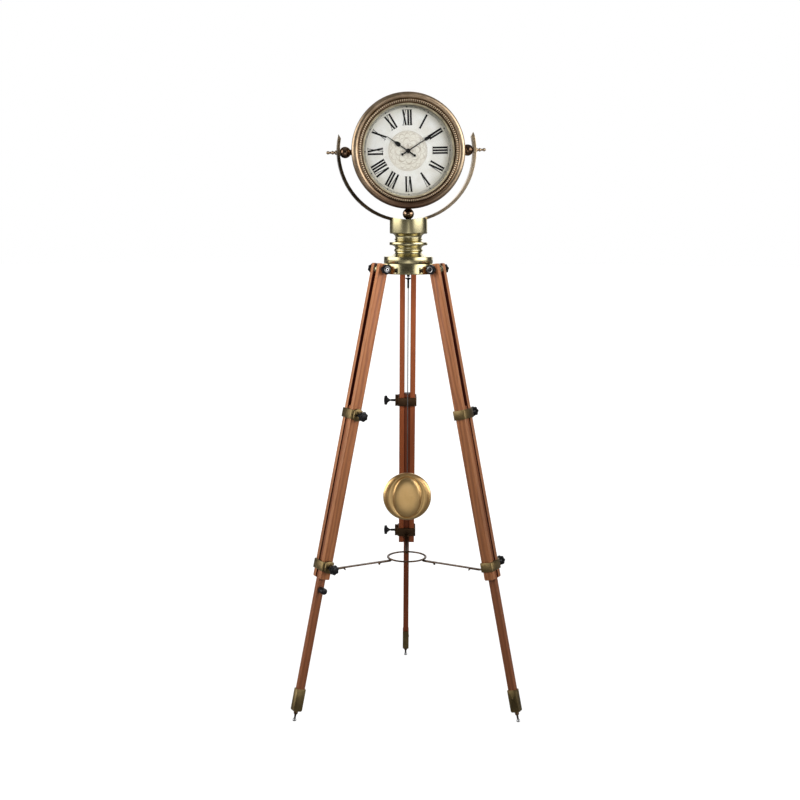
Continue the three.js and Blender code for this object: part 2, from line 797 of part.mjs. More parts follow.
// Yoke: a half-round strap with pointed tips, drilled for the pivots and the ball nut.
function yokeGeometry() {
  const leftTipAngle = -Math.PI - yokeTipAngle;
  const innerTip = yokeTipAngle - yokePointAngle;
  const outerArc = arc(0, 0, yokeOuterRadius, leftTipAngle, yokeTipAngle, yokeSteps);
  const innerArc = arc(0, 0, yokeInnerRadius, innerTip, leftTipAngle + yokePointAngle, yokeSteps);
  const strap = uprightPlate(new THREE.Shape(outline([...outerArc, ...innerArc])), yokeWidth, cornerSteps);
  const tip = yokeOuterRadius * Math.sin(yokeTipAngle);
  const shoulder = tip - yokePointLength;
  const bottom = -yokeOuterRadius - cutOverrun;
  const half = yokeWidth / 2 + cutOverrun;
  const front = new THREE.Shape();
  front.moveTo(-half, bottom);
  front.lineTo(half, bottom);
  front.lineTo(half, shoulder - cutOverrun);
  front.lineTo(yokeWidth / 2, shoulder);
  front.quadraticCurveTo(yokeWidth / 2, tip - yokePointLength / 2, yokePointWidth / 2, tip);
  front.lineTo(-yokePointWidth / 2, tip);
  front.quadraticCurveTo(-yokeWidth / 2, tip - yokePointLength / 2, -yokeWidth / 2, shoulder);
  front.lineTo(-half, shoulder - cutOverrun);
  const across = 2 * (yokeOuterRadius + cutOverrun);
  const envelope = plate(front, across, curveSteps).rotateX(Math.PI / 2).rotateZ(Math.PI / 2);
  const reach = yokeOuterRadius + cutOverrun;
  const sideHoles = barX(pivotStudRadius + seatGap, -reach, reach, turnSides);
  const floorHole = barZ(nutStudRadius + seatGap, -reach, -yokeInnerRadius + cutOverrun, turnSides);
  return surface(
    solid(strap).intersect(solid(envelope)).subtract(solid(sideHoles)).subtract(solid(floorHole)),
  );
}

// Ball nut on top of the strap, with the stud that clamps it to the column. Z up from the pivot.
function ballNutGeometry() {
  const seat = -yokeInnerRadius + seatGap;
  const centre = seat + ballRadius * Math.cos(Math.PI / 8);
  const studEnd = -yokeOuterRadius - nutStudLength;
  return turnedUpright(
    [
      [0, studEnd],
      [nutStudRadius, studEnd],
      [nutStudRadius, seat],
      ...arc(0, centre, ballRadius, (-3 * Math.PI) / 8, (7 * Math.PI) / 16, ballSteps),
      [0, centre + ballRadius],
    ],
    ballSides,
  );
}

// Ball on the drum's side, with the stud on which the head tips in the strap. X outwards.
function ballSpacerGeometry() {
  const outerEnd = yokeInnerRadius - seatGap;
  const centre = outerEnd - ballRadius * Math.cos(Math.PI / 8);
  const neckStart = centre - ballRadius * Math.cos(Math.PI / 6);
  const neckEnd = drumRadius - ballNeckRadius;
  const studEnd = yokeOuterRadius - seatGap;
  const blank = turned(
    [
      [0, neckEnd],
      [ballNeckRadius, neckEnd],
      [ballNeckRadius, neckStart],
      ...arc(0, centre, ballRadius, -Math.PI / 3, (3 * Math.PI) / 8, ballSteps),
      [pivotStudRadius, outerEnd],
      [pivotStudRadius, studEnd],
      [0, studEnd],
    ],
    ballSides,
  ).rotateZ(-Math.PI / 2);
  const drumSide = barY(drumRadius + seatGap, -ballRadius, ballRadius, 2 * ringSides);
  return surface(solid(blank).subtract(solid(drumSide)));
}

// Finial: a turned thumb nut outside the strap.
function finialGeometry() {
  const seat = yokeOuterRadius + seatGap;
  const flange = seat + finialFlangeLength;
  const ballCentre = seat + finialLength - finialBallRadius;
  const beadLow = flange + finialFlangeLength;
  const beadHigh = ballCentre - finialBallRadius - finialFlangeLength / 2;
  return turned(
    [
      [0, seat],
      [finialFlangeRadius, seat],
      [finialFlangeRadius, flange],
      [finialWaistRadius, flange + finialFlangeLength / 2],
      ...bead(finialWaistRadius, finialBeadRadius - finialWaistRadius, beadLow, beadHigh, coveSteps),
      ...arc(0, ballCentre, finialBallRadius, -Math.PI / 4, (3 * Math.PI) / 8, coveSteps),
      [0, ballCentre + finialBallRadius],
    ],
    turnSides,
  ).rotateZ(-Math.PI / 2);
}

// Drum: a spun cup, open in front, with a round service opening in its back.
function drumCaseGeometry() {
  const inner = drumRadius - drumWall;
  const innerBack = drumBack - drumWall;
  const innerCorner = drumCorner - drumWall;
  const corner = drumRadius - drumCorner;
  return turned(
    [
      [inner, drumFront + seatGap],
      [drumRadius, drumFront + seatGap],
      ...arc(corner, drumBack - drumCorner, drumCorner, 0, Math.PI / 2, 2),
      [drumOpeningRadius, drumBack],
      [drumOpeningRadius, innerBack],
      ...arc(corner, innerBack - innerCorner, innerCorner, Math.PI / 2, 0, 2),
    ],
    ringSides,
  );
}

// Back cover: a shallow pressed lid that laps the opening from outside.
function backCoverGeometry() {
  const seat = drumBack + seatGap;
  const spigot = drumOpeningRadius - runGap;
  const rim = drumOpeningRadius + coverLap;
  return turned(
    [
      [0, seat],
      [spigot - coverThickness, seat],
      [spigot - coverThickness, seat - coverRim],
      [spigot, seat - coverRim],
      [spigot, seat],
      [rim, seat],
      [rim, seat + coverThickness / 2],
      [rim - coverThickness, seat + coverThickness],
      [0, seat + coverThickness],
    ],
    ringSides,
  );
}

// Bezel: a spun ring with a rounded nose, open behind, a seat for the rope ring and a pocket for the glass.
function bezelGeometry() {
  const back = drumFront;
  const lipOuter = drumRadius - drumWall - runGap;
  const lipInner = lipOuter - bezelLip;
  const lipBack = dialFront - seatGap;
  const pocket = dialSightRadius + glassLap;
  const pocketFloor = glassFront - seatGap;
  const pocketBack = glassFront + glassThickness;
  const noseInner = noseRadius - noseRound;
  const noseCentre = bezelFront + noseRound;
  const hollowOuter = bezelRadius - bezelSkin;
  const hollowInner = drumRadius + drumWall;
  const hollowFront = bezelFront + noseRound / 2;
  return turned(
    [
      [dialSightRadius, pocketFloor],
      [dialSightRadius, ropeSeatDepth + bezelSkin / 2],
      [dialSightRadius + bezelSkin, ropeSeatDepth],
      [noseInner - bezelSkin / 2, ropeSeatDepth],
      ...arc(noseRadius, noseCentre, noseRound, noseFrom, noseTo, noseSteps),
      [bezelRadius - bezelSkin / 2, back],
      [hollowOuter - bezelSkin / 2, back],
      [noseRadius + bezelSkin, hollowFront],
      [hollowInner, hollowFront],
      [hollowInner, back],
      [lipOuter, back],
      [lipOuter, lipBack],
      [lipInner, lipBack],
      [lipInner, pocketBack],
      [pocket, pocketBack],
      [pocket, pocketFloor],
    ].reverse(),
    ringSides,
  );
}

// Rope ring: a two-strand twist wound round the dial, as one closed tube of turning oval section.
function ropeRingGeometry() {
  const around = 3 * ropeTwists;
  const centreY = ropeSeatDepth - seatGap - ropeStrandRadius - ropeOffset / 2;
  const places = [];
  const faces = [];
  for (let i = 0; i < around; i++) {
    const angle = (2 * Math.PI * i) / around;
    const twist = (Math.PI * i) / 3;
    for (let j = 0; j < ropeSides; j++) {
      const turn = (2 * Math.PI * j) / ropeSides;
      const swell = ropeStrandRadius + (ropeOffset / 2) * Math.cos(2 * (turn - twist));
      const radius = ropeRadius + swell * Math.cos(turn);
      places.push(radius * Math.cos(angle), centreY + swell * Math.sin(turn), radius * Math.sin(angle));
      const a = i * ropeSides + j;
      const b = i * ropeSides + ((j + 1) % ropeSides);
      const c = ((i + 1) % around) * ropeSides + ((j + 1) % ropeSides);
      const d = ((i + 1) % around) * ropeSides + j;
      faces.push(a, b, c, a, c, d);
    }
  }
  const geometry = new THREE.BufferGeometry();
  geometry.setAttribute("position", new THREE.Float32BufferAttribute(places, 3));
  geometry.setIndex(faces);
  return geometry;
}

function glassGeometry() {
  const radius = dialSightRadius + glassLap - runGap;
  return barY(radius, glassFront, glassFront + glassThickness, ringSides);
}

function dialGeometry() {
  const radius = drumRadius - drumWall - runGap;
  return turned(
    [
      [bushRadius + seatGap, dialFront],
      [radius, dialFront],
      [radius, dialFront + dialThickness],
      [bushRadius + seatGap, dialFront + dialThickness],
    ],
    ringSides,
  );
}

// Movement: the box behind the dial with its bush, hour tube and minute shaft stepped through it.
function movementGeometry() {
  const front = dialFront + dialThickness + seatGap;
  const half = movementSide / 2;
  const bushEnd = dialFront - bushProud;
  const tubeEnd = bushEnd - hourTubeLength;
  const shaftEnd = tubeEnd - shaftLength;
  const shape = roundedRectangle(-half, -half, half, half, movementCorner);
  const casing = uprightPlate(shape, movementDepth, cornerSteps).translate(0, front + movementDepth / 2, 0);
  const arbor = turned(
    [
      [0, shaftEnd],
      [shaftRadius, shaftEnd],
      [shaftRadius, tubeEnd],
      [hourTubeRadius, tubeEnd],
      [hourTubeRadius, bushEnd],
      [bushRadius, bushEnd],
      [bushRadius, front + movementDepth / 2],
      [0, front + movementDepth / 2],
    ],
    turnSides,
  );
  return surface(joined(casing, arbor));
}

// A hand pointing up: a slim stem with a leaf on it, a tapered tip, a hub and a tail that ends in a disc.
function handGeometry(hand, boreRadius) {
  const stem = handStemWidth / 2;
  const neck = handNeckWidth / 2;
  const tip = handTipWidth / 2;
  const leaf = hand.leafWidth / 2;
  const leafLow = hand.leafAt - hand.leafLength / 3;
  const leafHigh = hand.leafAt + (2 * hand.leafLength) / 3;
  const tailDisc = handStemWidth;
  const tailAt = tailDisc - hand.tail;
  const blade = new THREE.Shape();
  blade.moveTo(stem, tailAt);
  blade.lineTo(neck, leafLow);
  blade.quadraticCurveTo(leaf, leafLow, leaf, hand.leafAt);
  blade.quadraticCurveTo(leaf, (hand.leafAt + leafHigh) / 2, neck, leafHigh);
  blade.lineTo(tip, hand.length);
  blade.lineTo(-tip, hand.length);
  blade.lineTo(-neck, leafHigh);
  blade.quadraticCurveTo(-leaf, (hand.leafAt + leafHigh) / 2, -leaf, hand.leafAt);
  blade.quadraticCurveTo(-leaf, leafLow, -neck, leafLow);
  blade.lineTo(-stem, tailAt);
  const sheet = uprightPlate(blade, handThickness, curveSteps);
  const hub = barY(handHubRadius, -handThickness / 2, handThickness / 2, turnSides);
  const disc = barY(tailDisc, -handThickness / 2, handThickness / 2, turnSides).translate(0, 0, tailAt);
  const bore = barY(boreRadius, -handThickness, handThickness, turnSides);
  return surface(joined(sheet, hub, disc).subtract(solid(bore)));
}

// Hanger: a small clevis under the swivel bolt, with a stud above and the pin for the hook's eye.
const pendulumPivotHeight = baseBottom - pendulumPivotDrop;
function hangerGeometry() {
  const top = baseBottom - seatGap;
  const halfWidth = hangerWidth / 2;
  const halfDepth = hangerDepth / 2;
  const block = box(-halfWidth, halfWidth, -halfDepth, halfDepth, top - hangerHeight, top);
  const stud = barZ(hangerStudRadius, top - seatGap, baseBottom + swivelHeadHeight / 2, turnSides);
  const slotTop = pendulumPivotHeight + hookEyeRadius + runGap;
  const slot = box(
    -hangerWidth,
    hangerWidth,
    -hangerSlot / 2,
    hangerSlot / 2,
    top - hangerHeight - cutOverrun,
    slotTop,
  );
  const pin = barY(hangerPinRadius, -hangerDepth / 3, hangerDepth / 3, turnSides);
  const body = joined(block, stud).subtract(solid(slot));
  return surface(body.add(solid(pin.translate(0, 0, pendulumPivotHeight))));
}

// Hook: eye round the pin, wire, cone knob and the sleeve that holds the rod. Z from the pivot.
function hookGeometry() {
  const knobTop = -hookKnobTop;
  const knobLow = knobTop - hookKnobHeight;
  const end = knobLow - hookSleeveLength;
  const rodTop = end + rodInset;
  const bore = rodRadius + seatGap;
  const stem = turnedUpright(
    [
      [0, -hookEyeRadius / 2 - hangerPinRadius],
      [hookWireRadius, -hookEyeRadius / 2 - hangerPinRadius],
      [hookWireRadius, knobTop],
      [hookKnobRadius, knobTop - hookWireRadius],
      [hookKnobRadius, knobTop - 2 * hookWireRadius],
      [hookSleeveRadius, knobLow],
      [hookSleeveRadius, end],
      [bore, end],
      [bore, rodTop],
      [0, rodTop],
    ],
    turnSides,
  );
  const eye = barY(hookEyeRadius, -hookEyeThickness / 2, hookEyeThickness / 2, turnSides);
  const hole = barY(hangerPinRadius + collarGap, -hookEyeThickness, hookEyeThickness, turnSides);
  return surface(joined(stem, eye).subtract(solid(hole)));
}

// The bob hangs a clearance above the spreader ring.
const ringTop = ringHeight + ringThickness / 2;
const bobCentreZ = ringTop + bobClearance + bobRadius - pendulumPivotHeight;
const rodTopZ = -hookKnobTop - hookKnobHeight - hookSleeveLength + rodInset - seatGap;
function rodGeometry() {
  const bottom = bobCentreZ + bobRadius - bobSocketDepth + seatGap;
  return barZ(rodRadius, bottom, rodTopZ, turnSides);
}

// Bob: a lens with a raised oval dome in a groove on its front. Rings run from the middle to the rim.
const bobInnerShares = [0.45, 0.78, 0.94, 1];
const bobInnerRiseShares = [0.98, 0.92, 0.82, 0.62];
const bobOuterShares = [0.1, 0.35, 0.75, 1];
const bobOuterRiseShares = [0.52, 0.6, 0.34, 0];
const bobBackShares = [0.75, 0.4];
const bobBackRiseShares = [0.5, 0.88];
function bobGeometry() {
  const places = [0, -bobRimThickness / 2 - bobFrontRise, 0];
  const faces = [];
  const rings = [];
  const addRing = (at) => {
    rings.push(places.length / 3);
    for (let i = 0; i < bobSides; i++) places.push(...at((2 * Math.PI * i) / bobSides));
  };
  bobInnerShares.forEach((share, i) => {
    const y = -bobRimThickness / 2 - bobFrontRise * bobInnerRiseShares[i];
    addRing((turn) => [share * bobOvalWidth * Math.cos(turn), y, share * bobOvalHeight * Math.sin(turn)]);
  });
  bobOuterShares.forEach((share, i) => {
    const y = -bobRimThickness / 2 - bobFrontRise * bobOuterRiseShares[i];
    const halfWidth = bobOvalWidth + (bobRadius - bobOvalWidth) * share;
    const halfHeight = bobOvalHeight + (bobRadius - bobOvalHeight) * share;
    addRing((turn) => [halfWidth * Math.cos(turn), y, halfHeight * Math.sin(turn)]);
  });
  addRing((turn) => [bobRadius * Math.cos(turn), bobRimThickness / 2, bobRadius * Math.sin(turn)]);
  bobBackShares.forEach((share, i) => {
    const y = bobRimThickness / 2 + bobBackRise * bobBackRiseShares[i];
    addRing((turn) => [share * bobRadius * Math.cos(turn), y, share * bobRadius * Math.sin(turn)]);
  });
  const last = places.length / 3;
  places.push(0, bobRimThickness / 2 + bobBackRise, 0);
  for (let i = 0; i < bobSides; i++) {
    const next = (i + 1) % bobSides;
    faces.push(0, rings[0] + i, rings[0] + next);
    rings.slice(1).forEach((ring, k) => {
      const before = rings[k];
      faces.push(before + i, ring + i, ring + next, before + i, ring + next, before + next);
    });
    const end = rings[rings.length - 1];
    faces.push(end + i, last, end + next);
  }
  const lens = new THREE.BufferGeometry();
  lens.setAttribute("position", new THREE.Float32BufferAttribute(places, 3));
  lens.setIndex(faces);
  const socket = barZ(bobSocketRadius, bobRadius - bobSocketDepth, bobRadius + cutOverrun, turnSides);
  return surface(solid(lens).subtract(solid(socket)));
}

// The whole clock as nested groups, each placed where the real piece is carried.
const clock = new THREE.Group();

piece(clock, "leg_base", finish.brass, legBaseGeometry());
piece(clock, "swivel_bolt", finish.steel, swivelBoltGeometry());

for (const [name, azimuth] of Object.entries(legAngles)) {
  const sector = new THREE.Group();
  sector.rotation.z = THREE.MathUtils.degToRad(azimuth);
  clock.add(sector);

  const leg = new THREE.Group();
  leg.position.set(hingeCircleRadius, 0, hingeHeight);
  leg.rotation.y = -legTilt;
  sector.add(leg);

  const slatPlace = slotWidth / 2 + slatThickness / 2;
  piece(leg, `slat_${name}_a`, finish.wood, slatGeometry(), [0, slatPlace, 0]);
  piece(leg, `slat_${name}_b`, finish.wood, slatGeometry(), [0, -slatPlace, 0]);
  piece(leg, `hinge_bolt_${name}`, finish.black, hingeBoltGeometry());
  piece(leg, `hinge_knob_${name}`, finish.black, hingeKnobGeometry());
  piece(leg, `lower_collar_${name}`, finish.brass_old, lowerCollarGeometry(), [0, 0, -lowerCollarAt]);
  piece(leg, `lower_knob_${name}`, finish.black, thumbScrewGeometry(), [0, 0, -lowerCollarAt]);
  piece(leg, `mid_collar_${name}`, finish.brass_old, midCollarGeometry(), [0, 0, -midCollarAt]);
  piece(leg, `mid_knob_${name}`, finish.black, thumbScrewGeometry(), [0, 0, -midCollarAt]);
  piece(leg, `inner_leg_${name}`, finish.wood_dark, innerLegGeometry());
  piece(leg, `ferrule_${name}`, finish.brass_old, ferruleGeometry());
  piece(leg, `foot_tip_${name}`, finish.steel, footTipGeometry());
  if (name === "left") piece(leg, "stop_knob", finish.black, stopKnobGeometry(), [0, 0, -stopKnobAt]);

  const arm = piece(sector, `spreader_arm_${name}`, finish.brass_old, spreaderArmGeometry());
  arm.position.set(armPivotRadius, 0, armPivotHeight);
}

piece(clock, "spreader_ring", finish.brass_old, spreaderRingGeometry(), [0, 0, ringHeight]);

const turret = new THREE.Group();
turret.rotation.z = headTurn;
clock.add(turret);
piece(turret, "column", finish.brass, columnGeometry());

const seat = new THREE.Group();
seat.position.z = seatHeight;
seat.rotation.y = -yokeLean;
turret.add(seat);

const yokeGroup = new THREE.Group();
yokeGroup.position.z = yokeOuterRadius;
seat.add(yokeGroup);
piece(yokeGroup, "yoke", finish.bronze, yokeGeometry());
piece(yokeGroup, "ball_nut", finish.bronze, ballNutGeometry());
piece(yokeGroup, "finial_right", finish.bronze, finialGeometry());
piece(yokeGroup, "finial_left", finish.bronze, finialGeometry().rotateZ(Math.PI));

const head = new THREE.Group();
yokeGroup.add(head);
piece(head, "ball_right", finish.bronze, ballSpacerGeometry());
piece(head, "ball_left", finish.bronze, ballSpacerGeometry().rotateZ(Math.PI));
piece(head, "drum_case", finish.bronze, drumCaseGeometry());
piece(head, "back_cover", finish.black, backCoverGeometry());
piece(head, "bezel", finish.bronze, bezelGeometry());
piece(head, "rope_ring", finish.brass_old, ropeRingGeometry());
piece(head, "glass", finish.glass, glassGeometry());
piece(head, "dial", finish.dial, dialGeometry());
piece(head, "movement", finish.black, movementGeometry());

const minuteAngle = (2 * Math.PI * shownMinute) / 60;
const hourAngle = (2 * Math.PI * (shownHour + shownMinute / 60)) / 12;
const hourDepth = dialFront - bushProud - hourTubeLength / 2;
const minuteDepth = dialFront - bushProud - hourTubeLength - shaftLength / 2;
const hourBlade = handGeometry(hourHand, hourTubeRadius + seatGap);
const minuteBlade = handGeometry(minuteHand, shaftRadius + seatGap);
piece(head, "hour_hand", finish.black, hourBlade, [0, hourDepth, 0]).rotation.y = hourAngle;
piece(head, "minute_hand", finish.black, minuteBlade, [0, minuteDepth, 0]).rotation.y = minuteAngle;

const pendulum = new THREE.Group();
pendulum.position.z = pendulumPivotHeight;
clock.add(pendulum);
piece(clock, "pendulum_hanger", finish.black, hangerGeometry());
piece(pendulum, "pendulum_hook", finish.black, hookGeometry());
piece(pendulum, "pendulum_rod", finish.steel, rodGeometry());
piece(pendulum, "pendulum_bob", finish.brass, bobGeometry(), [0, 0, bobCentreZ]);

export default clock;
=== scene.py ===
# %% [markdown]
# # A tripod floor clock
# The clock stands on three folding wooden legs. A turned brass column carries a round head in a
# half-round yoke, and a pendulum hangs between the legs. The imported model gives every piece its
# place, so it is loaded first and each new piece is made where its node is.

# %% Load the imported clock
import math

import bpy
from mathutils import Matrix, Vector


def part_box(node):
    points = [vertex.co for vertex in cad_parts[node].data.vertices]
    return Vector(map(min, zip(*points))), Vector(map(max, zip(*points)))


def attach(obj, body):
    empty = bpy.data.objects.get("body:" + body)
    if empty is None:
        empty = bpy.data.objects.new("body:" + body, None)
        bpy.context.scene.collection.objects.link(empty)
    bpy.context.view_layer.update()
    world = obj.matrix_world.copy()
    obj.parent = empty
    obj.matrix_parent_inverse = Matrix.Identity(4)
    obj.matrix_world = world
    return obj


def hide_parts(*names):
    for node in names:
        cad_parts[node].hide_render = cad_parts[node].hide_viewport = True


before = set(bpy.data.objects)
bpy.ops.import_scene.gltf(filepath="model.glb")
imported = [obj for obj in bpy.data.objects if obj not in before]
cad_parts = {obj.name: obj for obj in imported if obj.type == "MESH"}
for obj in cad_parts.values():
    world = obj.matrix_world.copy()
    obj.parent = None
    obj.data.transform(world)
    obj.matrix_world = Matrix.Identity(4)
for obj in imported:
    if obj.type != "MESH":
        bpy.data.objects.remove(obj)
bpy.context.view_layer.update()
MM = 0.001

# %% [markdown]
# ## The camera
# The photograph was taken from three metres away, a little below the head, with the lens tipped
# down by eight degrees. A camera could be set by eye, but these numbers were worked out from the
# photograph, so the legs converge as they do there and every piece can be compared with it.

# %% Camera
camera_place = (-0.0184, -3.0057, 1.1822)
camera_pitch = 0.1433
camera_roll = 0.0044
camera_data = bpy.data.cameras.new("camera")
camera_data.lens = 56.66
camera_data.sensor_width = 36
camera = bpy.data.objects.new("camera", camera_data)
camera.matrix_world = (
    Matrix.Translation(camera_place)
    @ Matrix.Rotation(math.pi / 2 - camera_pitch, 4, "X")
    @ Matrix.Rotation(camera_roll, 4, "Z")
)
bpy.context.scene.collection.objects.link(camera)
bpy.context.scene.camera = camera
bpy.context.scene.view_settings.view_transform = "Standard"
print("camera at", camera_place)

# %% [markdown]
# ## Places on the clock
# The head and its yoke are turned a little to the side and lean in the column's saddle, and each
# leg leans out from its hinge. These few frames are the same as in the model, so a piece can be
# made upright at the origin and then carried to its place.

# %% Frames of the head and the legs
head_turn = math.radians(8.5)
yoke_lean = math.radians(1.8)
seat_height = 1.173
yoke_radius = 0.165
leg_azimuths = {"back": 90, "left": 210, "right": 330}
hinge_radius = 0.0786
hinge_height = 1.0644
foot_circle = 0.3075
leg_tilt = math.atan2(foot_circle - hinge_radius, hinge_height)

turret_frame = Matrix.Rotation(head_turn, 4, "Z")
seat_frame = Matrix.Translation((0, 0, seat_height)) @ Matrix.Rotation(-yoke_lean, 4, "Y")
yoke_frame = seat_frame @ Matrix.Translation((0, 0, yoke_radius))
head_frame = turret_frame @ yoke_frame
facing = Matrix.Rotation(-math.pi / 2, 4, "X")
to_right = Matrix.Rotation(math.pi / 2, 4, "Y")
to_left = Matrix.Rotation(-math.pi / 2, 4, "Y")


def leg_frame(leg):
    turn = Matrix.Rotation(math.radians(leg_azimuths[leg]), 4, "Z")
    hinge = Matrix.Translation((hinge_radius, 0, hinge_height))
    return turn @ hinge @ Matrix.Rotation(-leg_tilt, 4, "Y")


print("leg tilt", round(math.degrees(leg_tilt), 2), "degrees")

# %% [markdown]
# ## Tools for modelling
# Most of the clock was made on a lathe. A turned piece starts as a circle, and its edge is extruded
# and resized from one point of the profile to the next, just as a turner follows a template. The
# spin operator would do it too, but it leaves a seam down the side, and a circle has none.

# %% Selecting and placing
merge_gap = 0.00001


def only(piece):
    bpy.ops.object.select_all(action="DESELECT")
    piece.select_set(True)
    bpy.context.view_layer.objects.active = piece


def settled(piece, place):
    """Carry a finished piece to its place, and keep the place in its mesh."""
    only(piece)
    piece.matrix_world = place @ piece.matrix_world
    bpy.ops.object.transform_apply(location=True, rotation=True, scale=True)
    return piece


def smoothed(piece, degrees):
    """Shade a piece smooth, but keep the edges that are sharper than this angle."""
    only(piece)
    bpy.ops.object.shade_smooth_by_angle(angle=math.radians(degrees))
    return piece


# %% Turning
def turned(name, profile, sides=128, ring=False, smooth=30):
    """Walk a circle along (radius, height) points in millimetres. A ring ends where it began."""
    bpy.ops.object.select_all(action="DESELECT")
    radius, height = profile[0]
    start = (0, 0, height * MM)
    bpy.ops.mesh.primitive_circle_add(vertices=sides, radius=radius * MM, location=start)
    piece = bpy.context.object
    piece.name = name
    bpy.ops.object.transform_apply(location=True)
    bpy.ops.object.mode_set(mode="EDIT")
    bpy.ops.mesh.select_all(action="SELECT")
    for next_radius, next_height in profile[1:] + profile[:1] * ring:
        step = (0, 0, (next_height - height) * MM)
        bpy.ops.mesh.extrude_edges_move(TRANSFORM_OT_translate={"value": step})
        scale = next_radius / radius
        middle = (0, 0, next_height * MM)
        bpy.ops.transform.resize(value=(scale, scale, 1), center_override=middle)
        radius, height = next_radius, next_height
    bpy.ops.mesh.select_all(action="SELECT")
    bpy.ops.mesh.remove_doubles(threshold=merge_gap)
    bpy.ops.mesh.fill_holes(sides=0)
    bpy.ops.mesh.select_all(action="SELECT")
    bpy.ops.mesh.normals_make_consistent(inside=False)
    bpy.ops.object.mode_set(mode="OBJECT")
    return smoothed(piece, smooth)


# %% Curves of a profile
def arc(radius_at, height_at, bend, start, end, steps):
    """Profile points along an arc, given by its centre, its radius and two angles in degrees."""
    angles = [math.radians(start + (end - start) * i / steps) for i in range(steps + 1)]
    return [(radius_at + bend * math.cos(a), height_at + bend * math.sin(a)) for a in angles]


def cove(r0, z0, r1, z1, steps):
    """A hollow quarter curve, steepest at its narrow end."""
    points = []
    for i in range(steps + 1):
        turn = math.pi / 2 * i / steps
        across = 1 - math.cos(turn) if r0 < r1 else math.sin(turn)
        up = math.sin(turn) if r0 < r1 else 1 - math.cos(turn)
        points.append((r0 + (r1 - r0) * across, z0 + (z1 - z0) * up))
    return points


def bead(radius, rise, low, high, steps):
    """A round bead that bulges out between two heights."""
    shares = [i / steps for i in range(steps + 1)]
    return [(radius + rise * math.sin(math.pi * s), low + (high - low) * s) for s in shares]


# %% [markdown]
# Sawn, cast and pressed pieces keep the model's shape, but a real edge is never quite sharp. They
# could be built again from a cube, but a copy of the node is sure to sit where the model has it. So
# the copy's loose triangles are merged, its flat faces are joined, and a bevel rounds the edges.

# %% Easing the edges of a flat piece
def modified(piece, kind, **settings):
    """Add a modifier, set it and apply it."""
    only(piece)
    change = piece.modifiers.new(kind.lower(), kind)
    for key, value in settings.items():
        setattr(change, key, value)
    bpy.ops.object.modifier_apply(modifier=change.name)
    return piece


def eased(node, name, edge, segments=2, smooth=35):
    """A merged copy of a sawn, cast or pressed node with its sharp edges rounded over."""
    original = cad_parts[node]
    piece = bpy.data.objects.new(name, original.data.copy())
    bpy.context.scene.collection.objects.link(piece)
    piece.data.materials.clear()
    only(piece)
    bpy.ops.object.mode_set(mode="EDIT")
    bpy.ops.mesh.select_all(action="SELECT")
    bpy.ops.mesh.remove_doubles(threshold=merge_gap)
    bpy.ops.mesh.dissolve_limited(angle_limit=math.radians(1))
    bpy.ops.object.mode_set(mode="OBJECT")
    if edge > 0:
        modified(
            piece,
            "BEVEL",
            width=edge * MM,
            segments=segments,
            limit_method="ANGLE",
            angle_limit=math.radians(32),
            use_clamp_overlap=True,
        )
    return smoothed(piece, smooth)


# %% Fitting a finished piece
def fitted(piece, body, slot, finish, *nodes):
    """Give a finished piece its body, its material and the nodes that it stands for; the slot is not
    used.
    """
    piece.data.materials.clear()
    piece.data.materials.append(finish)
    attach(piece, body)
    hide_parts(*nodes)
    return piece


# %% [markdown]
# ## Finishes
# Every finish is worked out from its place on the piece, so it needs no picture and no unwrapping,
# and it has no seams. A small helper joins nodes, and each finish then says only what is special
# about it.

# %% Node helpers
class Nodes:
    """A node tree with short calls for adding and joining its nodes."""

    def __init__(self, tree):
        self.tree = tree

    def join(self, socket, value):
        """Link a socket to another one, or set its number or colour."""
        if isinstance(value, bpy.types.NodeSocket):
            self.tree.links.new(value, socket)
        elif isinstance(value, tuple):
            socket.default_value = (*value, 1)
        else:
            socket.default_value = value

    def add(self, kind, inputs=None, **settings):
        made = self.tree.nodes.new("ShaderNode" + kind)
        for key, value in settings.items():
            setattr(made, key, value)
        for key, value in (inputs or {}).items():
            if isinstance(value, bpy.types.NodeSocket):
                self.tree.links.new(value, made.inputs[key])
            else:
                made.inputs[key].default_value = value
        return made

    def coordinates(self, turn=(0, 0, 0), place=(0, 0, 0), scale=(1, 1, 1)):
        """Object coordinates, scaled, then turned, then moved."""
        source = self.add("TexCoord").outputs["Object"]
        inputs = {"Vector": source, "Rotation": turn, "Location": place, "Scale": scale}
        return self.add("Mapping", inputs).outputs["Vector"]

    def noise(self, vector, scale, detail=4, roughness=0.55, distortion=0):
        inputs = {"Vector": vector, "Scale": scale, "Detail": detail, "Roughness": roughness}
        inputs["Distortion"] = distortion
        return self.add("TexNoise", inputs).outputs["Fac"]

    def ramp(self, value, *stops):
        made = self.add("ValToRGB", {"Fac": value})
        elements = made.color_ramp.elements
        while len(elements) < len(stops):
            elements.new(1)
        for element, (place, colour) in zip(elements, stops):
            element.position = place
            element.color = (*colour, 1) if isinstance(colour, tuple) else (*[colour] * 3, 1)
        return made.outputs["Color"]

    def mixed(self, share, first, second, blend="MIX"):
        made = self.add("Mix", data_type="RGBA", blend_type=blend)
        for place, value in ((0, share), (6, first), (7, second)):
            self.join(made.inputs[place], value)
        return made.outputs[2]

    def sum(self, operation, first, second=0.0, third=0.0):
        return self.add("Math", {0: first, 1: second, 2: third}, operation=operation).outputs[0]

    def fit(self, value, low, high, to_low, to_high):
        names = ("Value", "From Min", "From Max", "To Min", "To Max")
        inputs = dict(zip(names, (value, low, high, to_low, to_high)))
        return self.add("MapRange", inputs).outputs["Result"]


